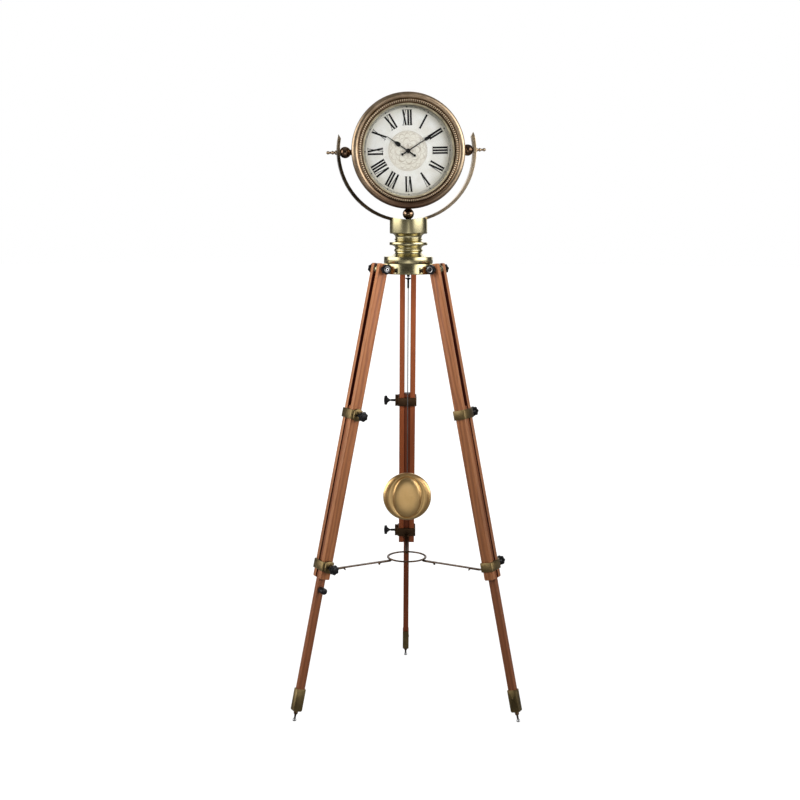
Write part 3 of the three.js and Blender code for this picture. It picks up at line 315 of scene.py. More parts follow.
class Finish(Nodes):
    """A material and the values that are fed into its shader."""

    def __init__(self, name):
        self.material = bpy.data.materials.new(name)
        self.material.use_nodes = True
        super().__init__(self.material.node_tree)
        self.shader = self.tree.nodes["Principled BSDF"]

    def feed(self, name, value):
        self.join(self.shader.inputs[name], value)

    def relief(self, height, strength, distance):
        inputs = {"Height": height, "Strength": strength, "Distance": distance}
        self.feed("Normal", self.add("Bump", inputs).outputs["Normal"])


# %% [markdown]
# ### Antique metals
# The metals are plated and then darkened and rubbed back. Slow clouds change the tone, fine
# scratches run the way that the piece was polished, the dark stays in hollows and the bright metal
# shows along the edges. Wear says how far the edges are rubbed, and grit how rough the plating is.

# %% Antique metal
cloud_scale, speck_scale, scratch_scale = 22, 420, 500


def antique(name, dark, middle, bright, rough, along=(1, 1, 1), wear=0.5, grit=1.0):
    made = Finish(name)
    place = made.coordinates()
    polish = made.coordinates(scale=along)
    cloud = made.noise(place, cloud_scale, detail=5, roughness=0.6)
    speck = made.noise(place, speck_scale, detail=3, roughness=0.6)
    scratch = made.noise(polish, scratch_scale, detail=3, roughness=0.7)
    tone = made.ramp(cloud, (0.3, dark), (0.5, middle), (0.72, bright))
    edges = made.add("NewGeometry").outputs["Pointiness"]
    worn = made.ramp(edges, (0.44, 0.0), (0.5, 0.35), (0.56, 1.0))
    tone = made.mixed(made.sum("MULTIPLY", worn, wear), tone, bright)
    spots = made.ramp(speck, (0.32, 0.55), (0.46, 1.0))
    tone = made.mixed(0.6 * grit, tone, spots, blend="MULTIPLY")
    made.feed("Base Color", tone)
    made.feed("Metallic", 1.0)
    half_cloud = made.sum("MULTIPLY", cloud, 0.5)
    rough_mix = made.sum("ADD", half_cloud, made.sum("MULTIPLY", scratch, 0.5))
    made.feed("Roughness", made.fit(rough_mix, 0.3, 0.7, *rough))
    made.relief(made.sum("ADD", scratch, made.sum("MULTIPLY", speck, 0.6)), 0.12 * grit, 0.0002)
    return made.material


# %% The brasses
turned_lines = (0.04, 0.04, 1)
column_brass = antique(
    "pale antique brass",
    (0.46, 0.4, 0.22),
    (0.5, 0.44, 0.25),
    (0.54, 0.48, 0.29),
    rough=(0.2, 0.25),
    along=turned_lines,
    wear=0.0,
    grit=0.03,
)
bob_brass = antique(
    "satin brass",
    (0.58, 0.36, 0.14),
    (0.68, 0.44, 0.185),
    (0.78, 0.54, 0.25),
    rough=(0.28, 0.36),
    wear=0.1,
    grit=0.08,
)
aged_rough = (0.3, 0.5)
collar_brass = antique(
    "aged brass", (0.04, 0.027, 0.011), (0.085, 0.06, 0.025), (0.28, 0.2, 0.09), rough=aged_rough
)
dark_brass = antique(
    "dark brass", (0.02, 0.011, 0.006), (0.045, 0.024, 0.012), (0.15, 0.085, 0.045), rough=aged_rough
)
brasses = (column_brass, bob_brass, collar_brass, dark_brass)
print("brasses", len(brasses))

# %% The bronzes
bezel_bronze = antique(
    "rubbed bronze", (0.21, 0.14, 0.08), (0.37, 0.26, 0.16), (0.57, 0.435, 0.3), rough=(0.3, 0.44)
)
yoke_bronze = antique(
    "dark bronze",
    (0.018, 0.012, 0.007),
    (0.05, 0.034, 0.019),
    (0.22, 0.15, 0.08),
    rough=(0.2, 0.32),
    wear=0.25,
)
ball_bronze = antique(
    "polished bronze",
    (0.07, 0.038, 0.022),
    (0.17, 0.1, 0.06),
    (0.42, 0.3, 0.2),
    rough=(0.05, 0.12),
    wear=0.2,
    grit=0.3,
)
bronzes = (bezel_bronze, yoke_bronze, ball_bronze)
print("bronzes", len(bronzes))

# %% The steels
dark_steel = antique(
    "dark steel", (0.05, 0.05, 0.05), (0.09, 0.09, 0.09), (0.2, 0.2, 0.2), rough=(0.3, 0.45)
)
steel = antique(
    "bright steel", (0.42, 0.42, 0.42), (0.58, 0.58, 0.59), (0.74, 0.74, 0.75), rough=(0.2, 0.34)
)
foot_steel = antique(
    "foot steel", (0.25, 0.25, 0.25), (0.36, 0.36, 0.37), (0.5, 0.5, 0.51), rough=(0.3, 0.44)
)
steels = (dark_steel, steel, foot_steel)
print("steels", len(steels))

# %% [markdown]
# Some of the bronze isn't one tone all over. The yoke gets a painted highlight on its right side and
# at its two ends, the bezel is painted brighter on its right and with dark red shade underneath, and
# the foot studs are black above their ball. One helper mixes such a second tone in along an axis.

# %% Tones that drift
def drifting(finish, axis, places, shares, other):
    """Let the tone of a finish drift towards another between two places on one axis."""
    tree = Nodes(finish.node_tree)
    shader = finish.node_tree.nodes["Principled BSDF"]
    tone = shader.inputs["Base Color"].links[0].from_socket
    along = tree.add("SeparateXYZ", {"Vector": tree.coordinates()}).outputs[axis]
    tone = tree.mixed(tree.fit(along, *places, *shares), tone, other)
    finish.node_tree.links.new(tone, shader.inputs["Base Color"])


# Painted light: the yoke is painted brighter towards its right side and its upper ends.
drifting(yoke_bronze, "X", (0.02, 0.13), (0.0, 0.92), (0.85, 0.67, 0.46))
drifting(yoke_bronze, "Z", (1.32, 1.345), (0.0, 0.7), (0.62, 0.46, 0.28))
# Painted light and shade on the bezel bronze: dark red below the head's middle and brighter towards the
# right, on the bezel, the drum and the finials alike.
drifting(bezel_bronze, "Z", (1.21, 1.28), (0.8, 0.0), (0.09, 0.036, 0.022))
drifting(bezel_bronze, "X", (0.04, 0.12), (0.0, 0.35), (0.8, 0.62, 0.42))
drifting(foot_steel, "Z", (0.0055, 0.0075), (0.0, 0.95), (0.03, 0.02, 0.014))
print("metals", len(brasses + bronzes + steels))

# %% [markdown]
# ### Rope brass
# The rope round the dial shows as a row of bright dots, one on the crown of each strand, with dark
# gaps between them. Both are painted: a highlight on each crown and shade where the strands go
# under. Noise can't place a dot on every crown, so the finish takes the angle round the head and
# repeats as often as the strands turn.

# %% Rope brass
def rope_painted_glints(turns):
    """A painted highlight on the crown of each strand, and painted shade where the strands go under."""
    made = Finish("rope brass")
    into_head = head_frame.inverted()
    upright = made.coordinates(turn=tuple(into_head.to_euler()), place=tuple(into_head.translation))
    apart = made.add("SeparateXYZ", {"Vector": upright}).outputs
    angle = made.sum("MULTIPLY", made.sum("ARCTAN2", apart["Z"], apart["X"]), turns)
    crown = made.sum("ABSOLUTE", made.sum("SINE", angle))
    # Painted highlight on each crown and painted shade between the strands.
    made.feed("Base Color", made.ramp(crown, (0.3, (0.03, 0.021, 0.013)), (0.8, (0.74, 0.57, 0.39))))
    made.feed("Metallic", 1.0)
    made.feed("Roughness", made.fit(crown, 0.0, 1.0, 0.5, 0.36))
    return made.material


# %% [markdown]
# ### Black grips and enamel
# The grips are moulded in a slightly grained black plastic, and the hands and small hooks are
# enamelled. They differ only in tone, gloss and grain, so one recipe makes them all, and the cream
# rim of the dial's opening and the printed black as well.

# %% Black finishes
def moulded(name, colour, rough, grain, depth):
    made = Finish(name)
    place = made.coordinates()
    cloud = made.noise(place, 60, detail=3)
    fine = made.noise(place, grain, detail=2)
    lighter = tuple(min(1, c * 2.2 + 0.002) for c in colour)
    made.feed("Base Color", made.ramp(cloud, (0.35, colour), (0.75, lighter)))
    made.feed("Roughness", made.fit(fine, 0.3, 0.7, rough - 0.07, rough + 0.09))
    made.feed("Specular IOR Level", 0.25)
    made.relief(fine, depth, 0.0002)
    return made.material


black_grip = moulded("black grip", (0.003, 0.003, 0.0035), 0.36, 900, 0.15)
black_enamel = moulded("black enamel", (0.006, 0.006, 0.006), 0.26, 700, 0.05)
cream_rim = moulded("cream rim", (0.25, 0.215, 0.14), 0.5, 600, 0.03)
black_ink = moulded("printed black", (0.006, 0.005, 0.005), 0.6, 1500, 0.02)
print("moulded and painted finishes", len((black_grip, black_enamel, cream_rim, black_ink)))

# %% [markdown]
# ### Stained hardwood
# The grain runs along each leg, so the coordinates are turned into the leg's own frame and
# stretched. Wide bands come from the growth rings, thin dark lines are the pores, and each board
# gets its own cut of the tree. The edges are pale, partly worn and partly a painted highlight, the
# wood is darker towards the bottom of the clock, and the walls of the slot get painted shade, nearly
# black.

# %% Grain
ring_stretch, pore_stretch = (9, 9, 0.9), (60, 60, 1.6)
ring_wave = {"Scale": 3.1, "Distortion": 7.5, "Detail": 3, "Detail Scale": 1.4}


def grain(made, turn, board):
    """The tone, the streaks and the pores of one board, from its own place in the tree."""
    shift = (board * 0.37, board * 0.61, board * 0.83)
    wide, thin = (
        made.add("Mapping", {"Vector": made.coordinates(turn=turn, place=shift), "Scale": s}).outputs[0]
        for s in (ring_stretch, pore_stretch)
    )
    cloud = made.noise(wide, 3.2, detail=4, distortion=0.4)
    rings = made.add("TexWave", {"Vector": wide, **ring_wave}, bands_direction="X").outputs["Fac"]
    streaks = made.noise(thin, 6, detail=5, roughness=0.65)
    pores = made.noise(thin, 26, detail=3, roughness=0.6)
    value = made.sum("ADD", made.sum("MULTIPLY", rings, 0.3), made.sum("MULTIPLY", streaks, 0.45))
    value = made.sum("ADD", value, made.sum("MULTIPLY", cloud, 0.3))
    return value, streaks, pores


# %% Stained hardwood
# The nearly black of the painted shade on the walls of the slot.
painted_slot_shade = (0.06, 0.008, 0.004)


def hardwood(name, leg, board, dark, middle, light, slot_edge=0.0):
    made = Finish(name)
    turn = tuple(leg_frame(leg).to_3x3().inverted().to_euler())
    value, streaks, pores = grain(made, turn, board)
    tone = made.ramp(value, (0.3, dark), (0.52, middle), (0.74, light))
    tone = made.mixed(0.5, tone, made.ramp(pores, (0.36, 0.42), (0.47, 1.0)), blend="MULTIPLY")
    # The edges are pale, partly wear and partly a painted highlight where they catch the light.
    worn = made.ramp(made.add("NewGeometry").outputs["Pointiness"], (0.5, 0.0), (0.56, 1.0))
    pale = (light[0] * 1.3, light[1] * 1.7, light[2] * 2.2)
    tone = made.mixed(made.sum("MULTIPLY", worn, 0.45), tone, pale)
    # Painted shade: the walls of the slot are darkened nearly black.
    if slot_edge:
        across = made.add("SeparateXYZ", {"Vector": made.coordinates(turn=turn)}).outputs["Y"]
        inside = made.fit(made.sum("ABSOLUTE", across), slot_edge, slot_edge + 0.0008, 1.0, 0.0)
        tone = made.mixed(inside, tone, painted_slot_shade)
    # The wood is darker towards the bottom of the clock.
    height = made.add("SeparateXYZ", {"Vector": made.coordinates()}).outputs["Z"]
    darker_below = made.ramp(made.fit(height, 0.0, 1.1, 0.0, 1.0), (0.48, 0.62), (0.95, 1.0))
    tone = made.mixed(1.0, tone, darker_below, blend="MULTIPLY")
    made.feed("Base Color", tone)
    made.feed("Roughness", made.fit(streaks, 0.3, 0.7, 0.34, 0.5))
    made.feed("Specular IOR Level", 0.25)
    made.relief(made.sum("ADD", streaks, pores), 0.07, 0.0003)
    return made.material


# %% The tones of the boards
def shaded(tones, shade):
    return [tuple(value * share for value, share in zip(tone, shade)) for tone in tones]


# Painted light and shade: each leg's boards are scaled lighter or darker as the light falls on them,
# the left leg lightest and the back leg darker and redder.
painted_leg_light_and_shade = {"back": (0.8, 0.48, 0.36), "left": (1.18, 1.07, 0.98), "right": (0.96, 0.87, 0.8)}
slat_tones = ((0.16, 0.042, 0.014), (0.31, 0.1, 0.034), (0.45, 0.175, 0.068))
# The bars are a darker board, and their tones are also lowered as painted shade where they sit back in
# the slot.
core_tones = ((0.09, 0.022, 0.008), (0.18, 0.052, 0.018), (0.27, 0.088, 0.032))
print("back leg's slats", shaded(slat_tones, painted_leg_light_and_shade["back"])[1])

# %% [markdown]
# ## The wooden legs
# Each leg has two sawn slats with a slot between them, in which a thinner bar slides. The model's
# boards have the right cuts already, and only need their sharp edges eased with a small bevel. The
# bar is planed to fill the slot, so it is turned upright, widened across and turned back: widened
# where it leans, it would be sheared.

# %% Slats and inner bars
half_slot = 0.0071
bar_widening = 1.07
board_number = 0
for leg, shade in painted_leg_light_and_shade.items():
    for side in ("a", "b"):
        board_number += 1
        tones = shaded(slat_tones, shade)
        name = f"stained slat {leg} {side}"
        finish = hardwood(name, leg, board_number, *tones, slot_edge=half_slot)
        board = eased(f"slat_{leg}_{side}", f"wood_slat_{leg}_{side}", 0.9)
        fitted(board, f"leg_{leg}", "oiled_hardwood", finish, f"slat_{leg}_{side}")
    board_number += 1
    finish = hardwood(f"stained bar {leg}", leg, board_number, *shaded(core_tones, shade))
    board = eased(f"inner_leg_{leg}", f"wood_bar_{leg}", 0.8)
    widened = Matrix.Scale(bar_widening, 4, (0, 1, 0))
    for step in (leg_frame(leg).inverted(), widened, leg_frame(leg)):
        settled(board, step)
    fitted(board, f"inner_leg_{leg}", "dark_hardwood", finish, f"inner_leg_{leg}")
print("boards", board_number)

# %% [markdown]
# ## Collars, ferrules and the spreader
# These are cast or bent from brass and darkened, the spreader most of all. The back leg's collars get
# the same dark brass as painted shade. Their bends and cuts come from several sides and the model has
# them already, so merged copies of the nodes get rounded edges, which catch the light as the real ones
# do.

# %% Collars, ferrules, arms
for leg in leg_azimuths:
    for node, body, edge in (
        (f"lower_collar_{leg}", f"leg_{leg}", 0.5),
        (f"mid_collar_{leg}", f"inner_leg_{leg}", 0.5),
        (f"ferrule_{leg}", f"inner_leg_{leg}", 0.6),
        (f"spreader_arm_{leg}", f"spreader_arm_{leg}", 0.3),
    ):
        piece = eased(node, f"brass_{node}", edge)
        # Painted shade: the back leg's collars get the dark brass of the spreader.
        dark = "arm" in node or (leg == "back" and "collar" in node)
        finish = dark_brass if dark else collar_brass
        fitted(piece, body, "aged_brass", finish, node)
print("collars, ferrules and arms", 4 * len(leg_azimuths))

# %% [markdown]
# The spreader's ring is a thin flat hoop with its edges broken. It is turned as a closed ring, and
# its middle height is measured on the node, so that it stays level with the three arms.

# %% Spreader ring
ring_low, ring_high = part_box("spreader_ring")
ring_height = (ring_low.z + ring_high.z) / 2
ring_lower_half = [(43.6, -1.1), (44.0, -1.5), (48.2, -1.5), (48.6, -1.1)]
ring_profile = ring_lower_half + [(radius, -z) for radius, z in reversed(ring_lower_half)]
ring = turned("brass_spreader_ring", ring_profile, sides=96, ring=True, smooth=50)
settled(ring, Matrix.Translation((0, 0, ring_height)))
fitted(ring, "spreader_ring", "aged_brass", dark_brass, "spreader_ring")
print("spreader ring at", round(ring_height, 4))

# %% [markdown]
# ## Feet
# The steel stud under each ferrule ends in a ball. A sphere on a rod would show a seam, so neck and
# ball are turned in one profile. The stud leans with its leg and stands on the floor, so the ball's
# lowest bit is cut off level. A darker collar sits between the ferrule and the stud's neck.

# %% Foot studs
ferrule_end = 1064.75
above_floor = 0.00002
foot_profile = [(3.2, 12), (3.2, -5), (2.4, -8), (2.3, -16), (2.5, -17.6)]
foot_profile += arc(0, -21.8, 4.4, 55, -75, 16)
collar_profile = [(3.3, 0), (4.7, 0), (5, -0.4), (5, -5.6), (4.6, -6.3), (2.9, -8.8), (2.5, -9)]
for leg in leg_azimuths:
    stud = turned(f"steel_foot_{leg}", foot_profile, sides=40, smooth=40)
    foot_place = leg_frame(leg) @ Matrix.Translation((0, 0, -ferrule_end * MM))
    settled(stud, foot_place)
    bpy.ops.object.mode_set(mode="EDIT")
    bpy.ops.mesh.select_all(action="SELECT")
    bpy.ops.mesh.bisect(
        plane_co=(0, 0, above_floor), plane_no=(0, 0, -1), use_fill=True, clear_outer=True
    )
    bpy.ops.object.mode_set(mode="OBJECT")
    fitted(stud, f"inner_leg_{leg}", "bright_steel", foot_steel, f"foot_tip_{leg}")
    collar = turned(f"brass_foot_collar_{leg}", collar_profile, sides=40, ring=True, smooth=40)
    settled(collar, foot_place)
    fitted(collar, f"inner_leg_{leg}", "aged_brass", dark_brass)
print("foot studs", len(leg_azimuths))

# %% [markdown]
# ## Grips
# The screws and hinge bolts have star grips with seven lobes. The hollows between them could be cut
# by seven cylinders, but it is simpler to turn a grip with many sides and to draw its edge in by a
# cosine. Each copy has its own mesh, so it can sit on its leg.

# %% A star grip
grip_radius = 12
lobes = 7
lobe_start, lobe_depth = 8, 0.8


def star(name, start, end):
    """A lobed grip between two places along its axis."""
    rim, crown = grip_radius, 0.8
    profile = [(rim - 2.6, start), (rim - 0.9, start + 0.5), (rim, start + 1.6)]
    profile += [(rim, end - 1.6), (rim - 0.9, end - 0.5), (rim - 2.6, end)]
    profile += [(7.2, end + 0.1), (6.6, end - 0.4), (5.2, end - 0.2 + crown), (2.4, end + crown)]
    grip = turned(name, profile, sides=lobes * 12, smooth=38)
    for vertex in grip.data.vertices:
        reach = math.hypot(vertex.co.x, vertex.co.y) / MM
        if reach > lobe_start:
            angle = math.atan2(vertex.co.y, vertex.co.x)
            draw = 1 - lobe_depth * (1 - math.cos(lobes * angle)) / grip_radius
            vertex.co.x *= draw
            vertex.co.y *= draw
    return grip


# %% Joining and copying
def joined(first, *others):
    bpy.ops.object.select_all(action="DESELECT")
    for piece in (first, *others):
        piece.select_set(True)
    bpy.context.view_layer.objects.active = first
    bpy.ops.object.join()
    return first


def copy_of(piece, name):
    made = bpy.data.objects.new(name, piece.data.copy())
    bpy.context.scene.collection.objects.link(made)
    return made


# %% Thumb screws
screw_places = {"lower": 709.8, "mid": 345.7}
stem_profile = [(3, 20.4), (3, 40.4), (2.2, 41.6), (2.2, 43.6), (3.4, 45.2), (5.2, 47.6)]
stem_profile += [(7, 50), (7.4, 51), (7.4, 52)]
thumb_screw = joined(star("thumb_grip", 50.4, 58.2), turned("thumb_stem", stem_profile, sides=48))
for leg in leg_azimuths:
    for place, below_hinge in screw_places.items():
        node = f"{place}_knob_{leg}"
        screw = copy_of(thumb_screw, f"grip_{node}")
        settled(screw, leg_frame(leg) @ Matrix.Translation((0, 0, -below_hinge * MM)) @ facing)
        fitted(screw, node, "black_grip", black_grip, node)
print("thumb screws", len(leg_azimuths) * len(screw_places), "like", thumb_screw.name)
bpy.data.objects.remove(thumb_screw)

# %% [markdown]
# Each hinge bolt goes right through its leg. It has a star grip with a steel cap at both ends, the
# head fixed to the leg and the nut free to turn. Both ends are made alike, and a half turn carries
# one of them to the far side.

# %% Hinge bolts and their nuts
hinge_hub = [(4.3, 20.4), (7.1, 20.4), (7.5, 20.8), (7.5, 28.4), (9.4, 29.2)]
cap_profile = [(4.4, 37.2), (6.2, 38.1), (6.5, 38.0), (7.2, 37.4), (7.2, 36.4)]
for leg in leg_azimuths:
    for node, flip in ((f"hinge_bolt_{leg}", math.pi), (f"hinge_knob_{leg}", 0)):
        hub = turned("hub", hinge_hub, sides=48)
        grip = joined(star(f"grip_{node}", 28.4, 37.4), hub)
        settled(grip, leg_frame(leg) @ Matrix.Rotation(flip, 4, "Z") @ facing)
        body = f"leg_{leg}" if flip else node
        fitted(grip, body, "black_metal" if flip else "black_grip", black_grip, node)
        cap = turned(f"steel_{node}_cap", cap_profile, sides=48)
        settled(cap, leg_frame(leg) @ Matrix.Rotation(flip, 4, "Z") @ facing)
        fitted(cap, body, "bright_steel", steel)
print("hinge grips", 2 * len(leg_azimuths))

# %% Hinge shafts
shaft_profile = [(3.7, -37), (4, -36.7), (4, 38), (3.7, 38.2)]
for leg in leg_azimuths:
    shaft = turned(f"steel_hinge_shaft_{leg}", shaft_profile, sides=32)
    settled(shaft, leg_frame(leg) @ facing)
    fitted(shaft, f"leg_{leg}", "bright_steel", steel)
print("hinges", len(leg_azimuths))

# %% [markdown]
# Low on the left leg alone sits a plain round knob without lobes. It is one short turned cylinder
# with its two rims rounded, and it faces the same way as the thumb screws above it.

# %% Stop knob
stop_below_hinge = 768
stop_profile = [(6, 6.3), (7.1, 6.7), (7.5, 7.6), (7.5, 27.8), (7.1, 28.8), (6, 29.3)]
stop = turned("grip_stop_knob", stop_profile, sides=56, smooth=50)
settled(stop, leg_frame("left") @ Matrix.Translation((0, 0, -stop_below_hinge * MM)) @ facing)
fitted(stop, "stop_knob", "black_grip", black_grip, "stop_knob")
print("stop knob", len(stop.data.polygons), "faces")

# %% [markdown]
# ## Base and column
# Base and column are one run of turning: a plain disc, a foot that flares in, a bead, a sharp ring,
# a second bead and a cup. Stacked cylinders and rings would show where they meet, so the whole
# column is one profile. The cup is cut by the round of the yoke, which is done with a boolean.
# The disc below is a piece of its own, because the column turns on top of it.

# %% Leg base
base_profile = [(56.4, 1051.8), (57.5, 1052.2), (58, 1053)]
base_profile += [(58, 1075.6), (57.5, 1076.5), (56.4, 1077)]
base = turned("brass_leg_base", base_profile, sides=160)
fitted(base, "stand", "cast_antique_brass", column_brass, "leg_base")
print("leg base", len(base.data.polygons), "faces")

# %% [markdown]
# On the base, a tongue for each leg goes between its slats and takes the hinge bolt. It starts as a
# cylinder on its side, and the points of its inner half are drawn in to the base, which makes a
# round-nosed plate with little work.

# %% Hinge tongues
tongue_radius, tongue_thickness, tongue_reach = 0.0126, 0.013, 0.035


def hinge_tongue(leg):
    """A disc on edge whose inner half is drawn in to the base."""
    bpy.ops.object.select_all(action="DESELECT")
    bpy.ops.mesh.primitive_cylinder_add(
        vertices=64, radius=tongue_radius, depth=tongue_thickness, rotation=(math.pi / 2, 0, 0)
    )
    tongue = bpy.context.object
    tongue.name = f"brass_hinge_tongue_{leg}"
    bpy.ops.object.transform_apply(rotation=True)
    for vertex in tongue.data.vertices:
        if vertex.co.x < 0:
            vertex.co.x -= tongue_reach
    edges = {"limit_method": "ANGLE", "angle_limit": math.radians(40)}
    modified(tongue, "BEVEL", width=0.0006, segments=2, **edges)
    smoothed(tongue, 35)
    turn = Matrix.Rotation(math.radians(leg_azimuths[leg]), 4, "Z")
    return settled(tongue, turn @ Matrix.Translation((hinge_radius, 0, hinge_height)))


for leg in leg_azimuths:
    fitted(hinge_tongue(leg), "stand", "cast_antique_brass", column_brass)
print("hinge tongues", len(leg_azimuths))

# %% Column
foot = 1077.3
column_profile = [
    (56.6, foot),
    (57.6, foot + 0.4),
    (58, foot + 1.2),
    (58, 1091.4),
    (57.6, 1092.4),
    *cove(56.4, 1093.0, 31.3, 1103.3, 12),
    *bead(31.3, 2.7, 1103.3, 1112.3, 12)[1:],
    *cove(31.3, 1112.3, 43.4, 1119.5, 10)[1:],
    (44.5, 1119.9),
    (45, 1121.1),
    (45, 1125.1),
    (44.5, 1126.3),
    *cove(43.4, 1126.7, 31.3, 1131.1, 8),
    *bead(31.3, 1.9, 1131.1, 1135.7, 8)[1:],
    *cove(31.3, 1138.3, 41.6, 1146.3, 12),
    *arc(41.6, 1149.3, 3, -90, 0, 6)[1:],
    (44.6, 1184.9),
    (44.2, 1185.7),
    (43.4, 1186),
]
column = turned("brass_column", column_profile, sides=160, smooth=28)
print("column profile", len(column_profile), "points")


# %% The cup's round cut
def cut_by_round(piece, radius, width):
    """Take a cylinder's worth out of a piece, round the axis on which the head tips."""
    bpy.ops.object.select_all(action="DESELECT")
    bpy.ops.mesh.primitive_cylinder_add(vertices=360, radius=radius * MM, depth=width * MM)
    cutter = bpy.context.object
    cutter.matrix_world = yoke_frame @ facing
    bpy.ops.object.transform_apply(location=True, rotation=True)
    modified(piece, "BOOLEAN", operation="DIFFERENCE", object=cutter, solver="EXACT")
    bpy.data.objects.remove(cutter)


saddle_radius, saddle_width = 158, 130
strap_radius, strap_width = 165.3, 19.6
cut_by_round(column, saddle_radius, saddle_width)
cut_by_round(column, strap_radius, strap_width)
smoothed(column, 28)
settled(column, turret_frame)
fitted(column, "turret", "cast_antique_brass", column_brass, "column")
print("column", len(column.data.polygons), "faces")

# %% [markdown]
# ## Yoke, balls and finials
# The yoke is a flat strap bent to a little more than a half circle, with pointed ends. A curve with
# a flat section would give the strap but not its points, so a copy of the node is eased. The balls
# and finials at its ends and the ball below are small turned pieces.

# %% Yoke
yoke = eased("yoke", "bronze_yoke", 0.5, smooth=25)
fitted(yoke, "turret", "yoke_bronze", yoke_bronze, "yoke")
print("yoke", len(yoke.data.polygons), "faces")

# %% Balls and finials
ball_radius = 13.5
ball_outer_end = 157.7
ball_centre = ball_outer_end - ball_radius * math.cos(math.pi / 8)
side_ball = [
    (6.5, 121.5),
    (6.5, ball_centre - 11.8),
    *arc(0, ball_centre, ball_radius, -61, 66, 20),
    (3.5, ball_outer_end),
    (3.5, 164.7),
]
finial = [
    (5.0, 165.3),
    (5.2, 165.6),
    (5.2, 168.0),
    (5.0, 168.3),
    (2.7, 169.6),
    *bead(2.6, 1.8, 171.3, 177.6, 10),
    (2.6, 178.4),
    *arc(0, 185.3, 4, -50, 80, 12),
]
for side, place in (("right", to_right), ("left", to_left)):
    ball = settled(turned(f"bronze_ball_{side}", side_ball, sides=64, smooth=40), head_frame @ place)
    fitted(ball, "head", "bronze_plate", ball_bronze, f"ball_{side}")
    knob = settled(turned(f"bronze_finial_{side}", finial, sides=40, smooth=40), head_frame @ place)
    fitted(knob, f"finial_{side}", "bronze_plate", bezel_bronze, f"finial_{side}")
print("ball centres", round(ball_centre, 2), "mm from the head's middle")

# %% Ball nut
nut_profile = [(4, -189), (4, -ball_outer_end), *arc(0, -ball_centre, ball_radius, -66, 84, 24)]
nut = turned("bronze_ball_nut", nut_profile, sides=64, smooth=40)
settled(nut, head_frame)
fitted(nut, "turret", "bronze_plate", ball_bronze, "ball_nut")
print("ball nut", len(nut.data.polygons), "faces")

# %% [markdown]
# ## The head
# The case is a spun drum with a black cover behind. Its bezel has a round nose and a flat seat for
# a rope of twisted wire. Inside the rope lie two thin rings: a dark ring of painted shade in the groove
# by the glass, and a cream sight round the dial. They are all round, so each is turned flat and then
# stood up to face the room.

# %% Drum and back cover
drum_profile = [
    (120.9, -19.7),
    (122.5, -19.7),
    *arc(116.5, 32, 6, 0, 90, 8),
    (62, 38),
    (62, 36.4),
    *arc(116.5, 32, 4.4, 90, 0, 6),
]
drum = turned("bronze_drum", drum_profile, sides=160, ring=True, smooth=40)
settled(drum, head_frame @ facing)
fitted(drum, "head", "bronze_plate", bezel_bronze, "drum_case")
cover_profile = [(59.9, 35.3), (61.5, 35.3), (61.5, 38.3), (70, 38.3)]
cover_profile += [(70, 39.1), (68.4, 39.9), (20, 39.9), (4, 39.9)]
cover = settled(turned("black_back_cover", cover_profile), head_frame @ facing)
fitted(cover, "head", "black_metal", black_enamel, "back_cover")
print("drum", len(drum.data.polygons), "faces, cover", len(cover.data.polygons))

# %% Bezel
bezel_profile = [
    (108.6, -28.5),
    (108.6, -30.6),
    (109.2, -31.2),
    (116.2, -31.2),
    (117.1, -31.5),
    *arc(125.7, -30.3, 8.2, -166, -8, 26),
    (133.4, -24),
    (133, -20.3),
    (132.6, -20),
    (131.2, -20),
    (127.5, -34.4),
    (124.1, -34.4),
    (124.1, -20),
    (120.4, -20),
    (120.4, -17),
    (118.4, -17),
    (118.4, -26.2),
    (110, -26.2),
    (110, -28.5),
]
bezel = turned("bronze_bezel", bezel_profile, sides=200, ring=True, smooth=40)
settled(bezel, head_frame @ facing)
fitted(bezel, "head", "bronze_plate", bezel_bronze, "bezel")
print("bezel", len(bezel.data.polygons), "faces")

# %% Sight and groove shade
sight_profile = [(104.5, -28.5), (104.5, -30.2), (105.1, -30.9), (107.6, -31.5)]
sight_profile += [(108.3, -31.3), (108.5, -28.5)]
sight = turned("brass_sight", sight_profile, sides=200, ring=True, smooth=40)
settled(sight, head_frame @ facing)
fitted(sight, "head", "bronze_plate", cream_rim)
# Painted shade: a thin dark ring stands in the groove between the rope and the glass, where there is
# only shade.
groove_shade_profile = [(108.7, -28.4), (108.7, -31.5), (111.4, -31.7), (111.4, -28.4)]
groove_shade = settled(turned("painted_groove_shade", groove_shade_profile, sides=160, ring=True), head_frame @ facing)
fitted(groove_shade, "head", "bronze_plate", dark_brass)
print("sight", len(sight.data.polygons), "faces, seal", len(groove_shade.data.polygons))

# %% [markdown]
# The rope is two strands that turn round each other. A row of beads would look like it from afar,
# but not from close by. A torus gives one strand, and each of its sections is moved round the
# rope's middle a little further than the one before.

# %% Rope ring
rope_radius, rope_depth, turns = 114.6, 35.2, 72
strand, throw = 1.95, 1.65
strands = []
for phase in (0, math.pi):
    bpy.ops.object.select_all(action="DESELECT")
    bpy.ops.mesh.primitive_torus_add(
        major_segments=turns * 14,
        minor_segments=8,
        major_radius=rope_radius * MM,
        minor_radius=strand * MM,
    )
    wire = bpy.context.object
    for vertex in wire.data.vertices:
        angle = math.atan2(vertex.co.y, vertex.co.x)
        twist = turns * angle + phase
        reach = 1 + throw * math.cos(twist) / rope_radius
        vertex.co.x *= reach
        vertex.co.y *= reach
        vertex.co.z += throw * math.sin(twist) * MM
    strands.append(wire)
rope = joined(*strands)
rope.name = "brass_rope_ring"
only(rope)
bpy.ops.object.shade_smooth()
settled(rope, head_frame @ facing @ Matrix.Translation((0, 0, -rope_depth * MM)))
fitted(rope, "head", "aged_brass", rope_painted_glints(turns), "rope_ring")
print("rope turns", turns)

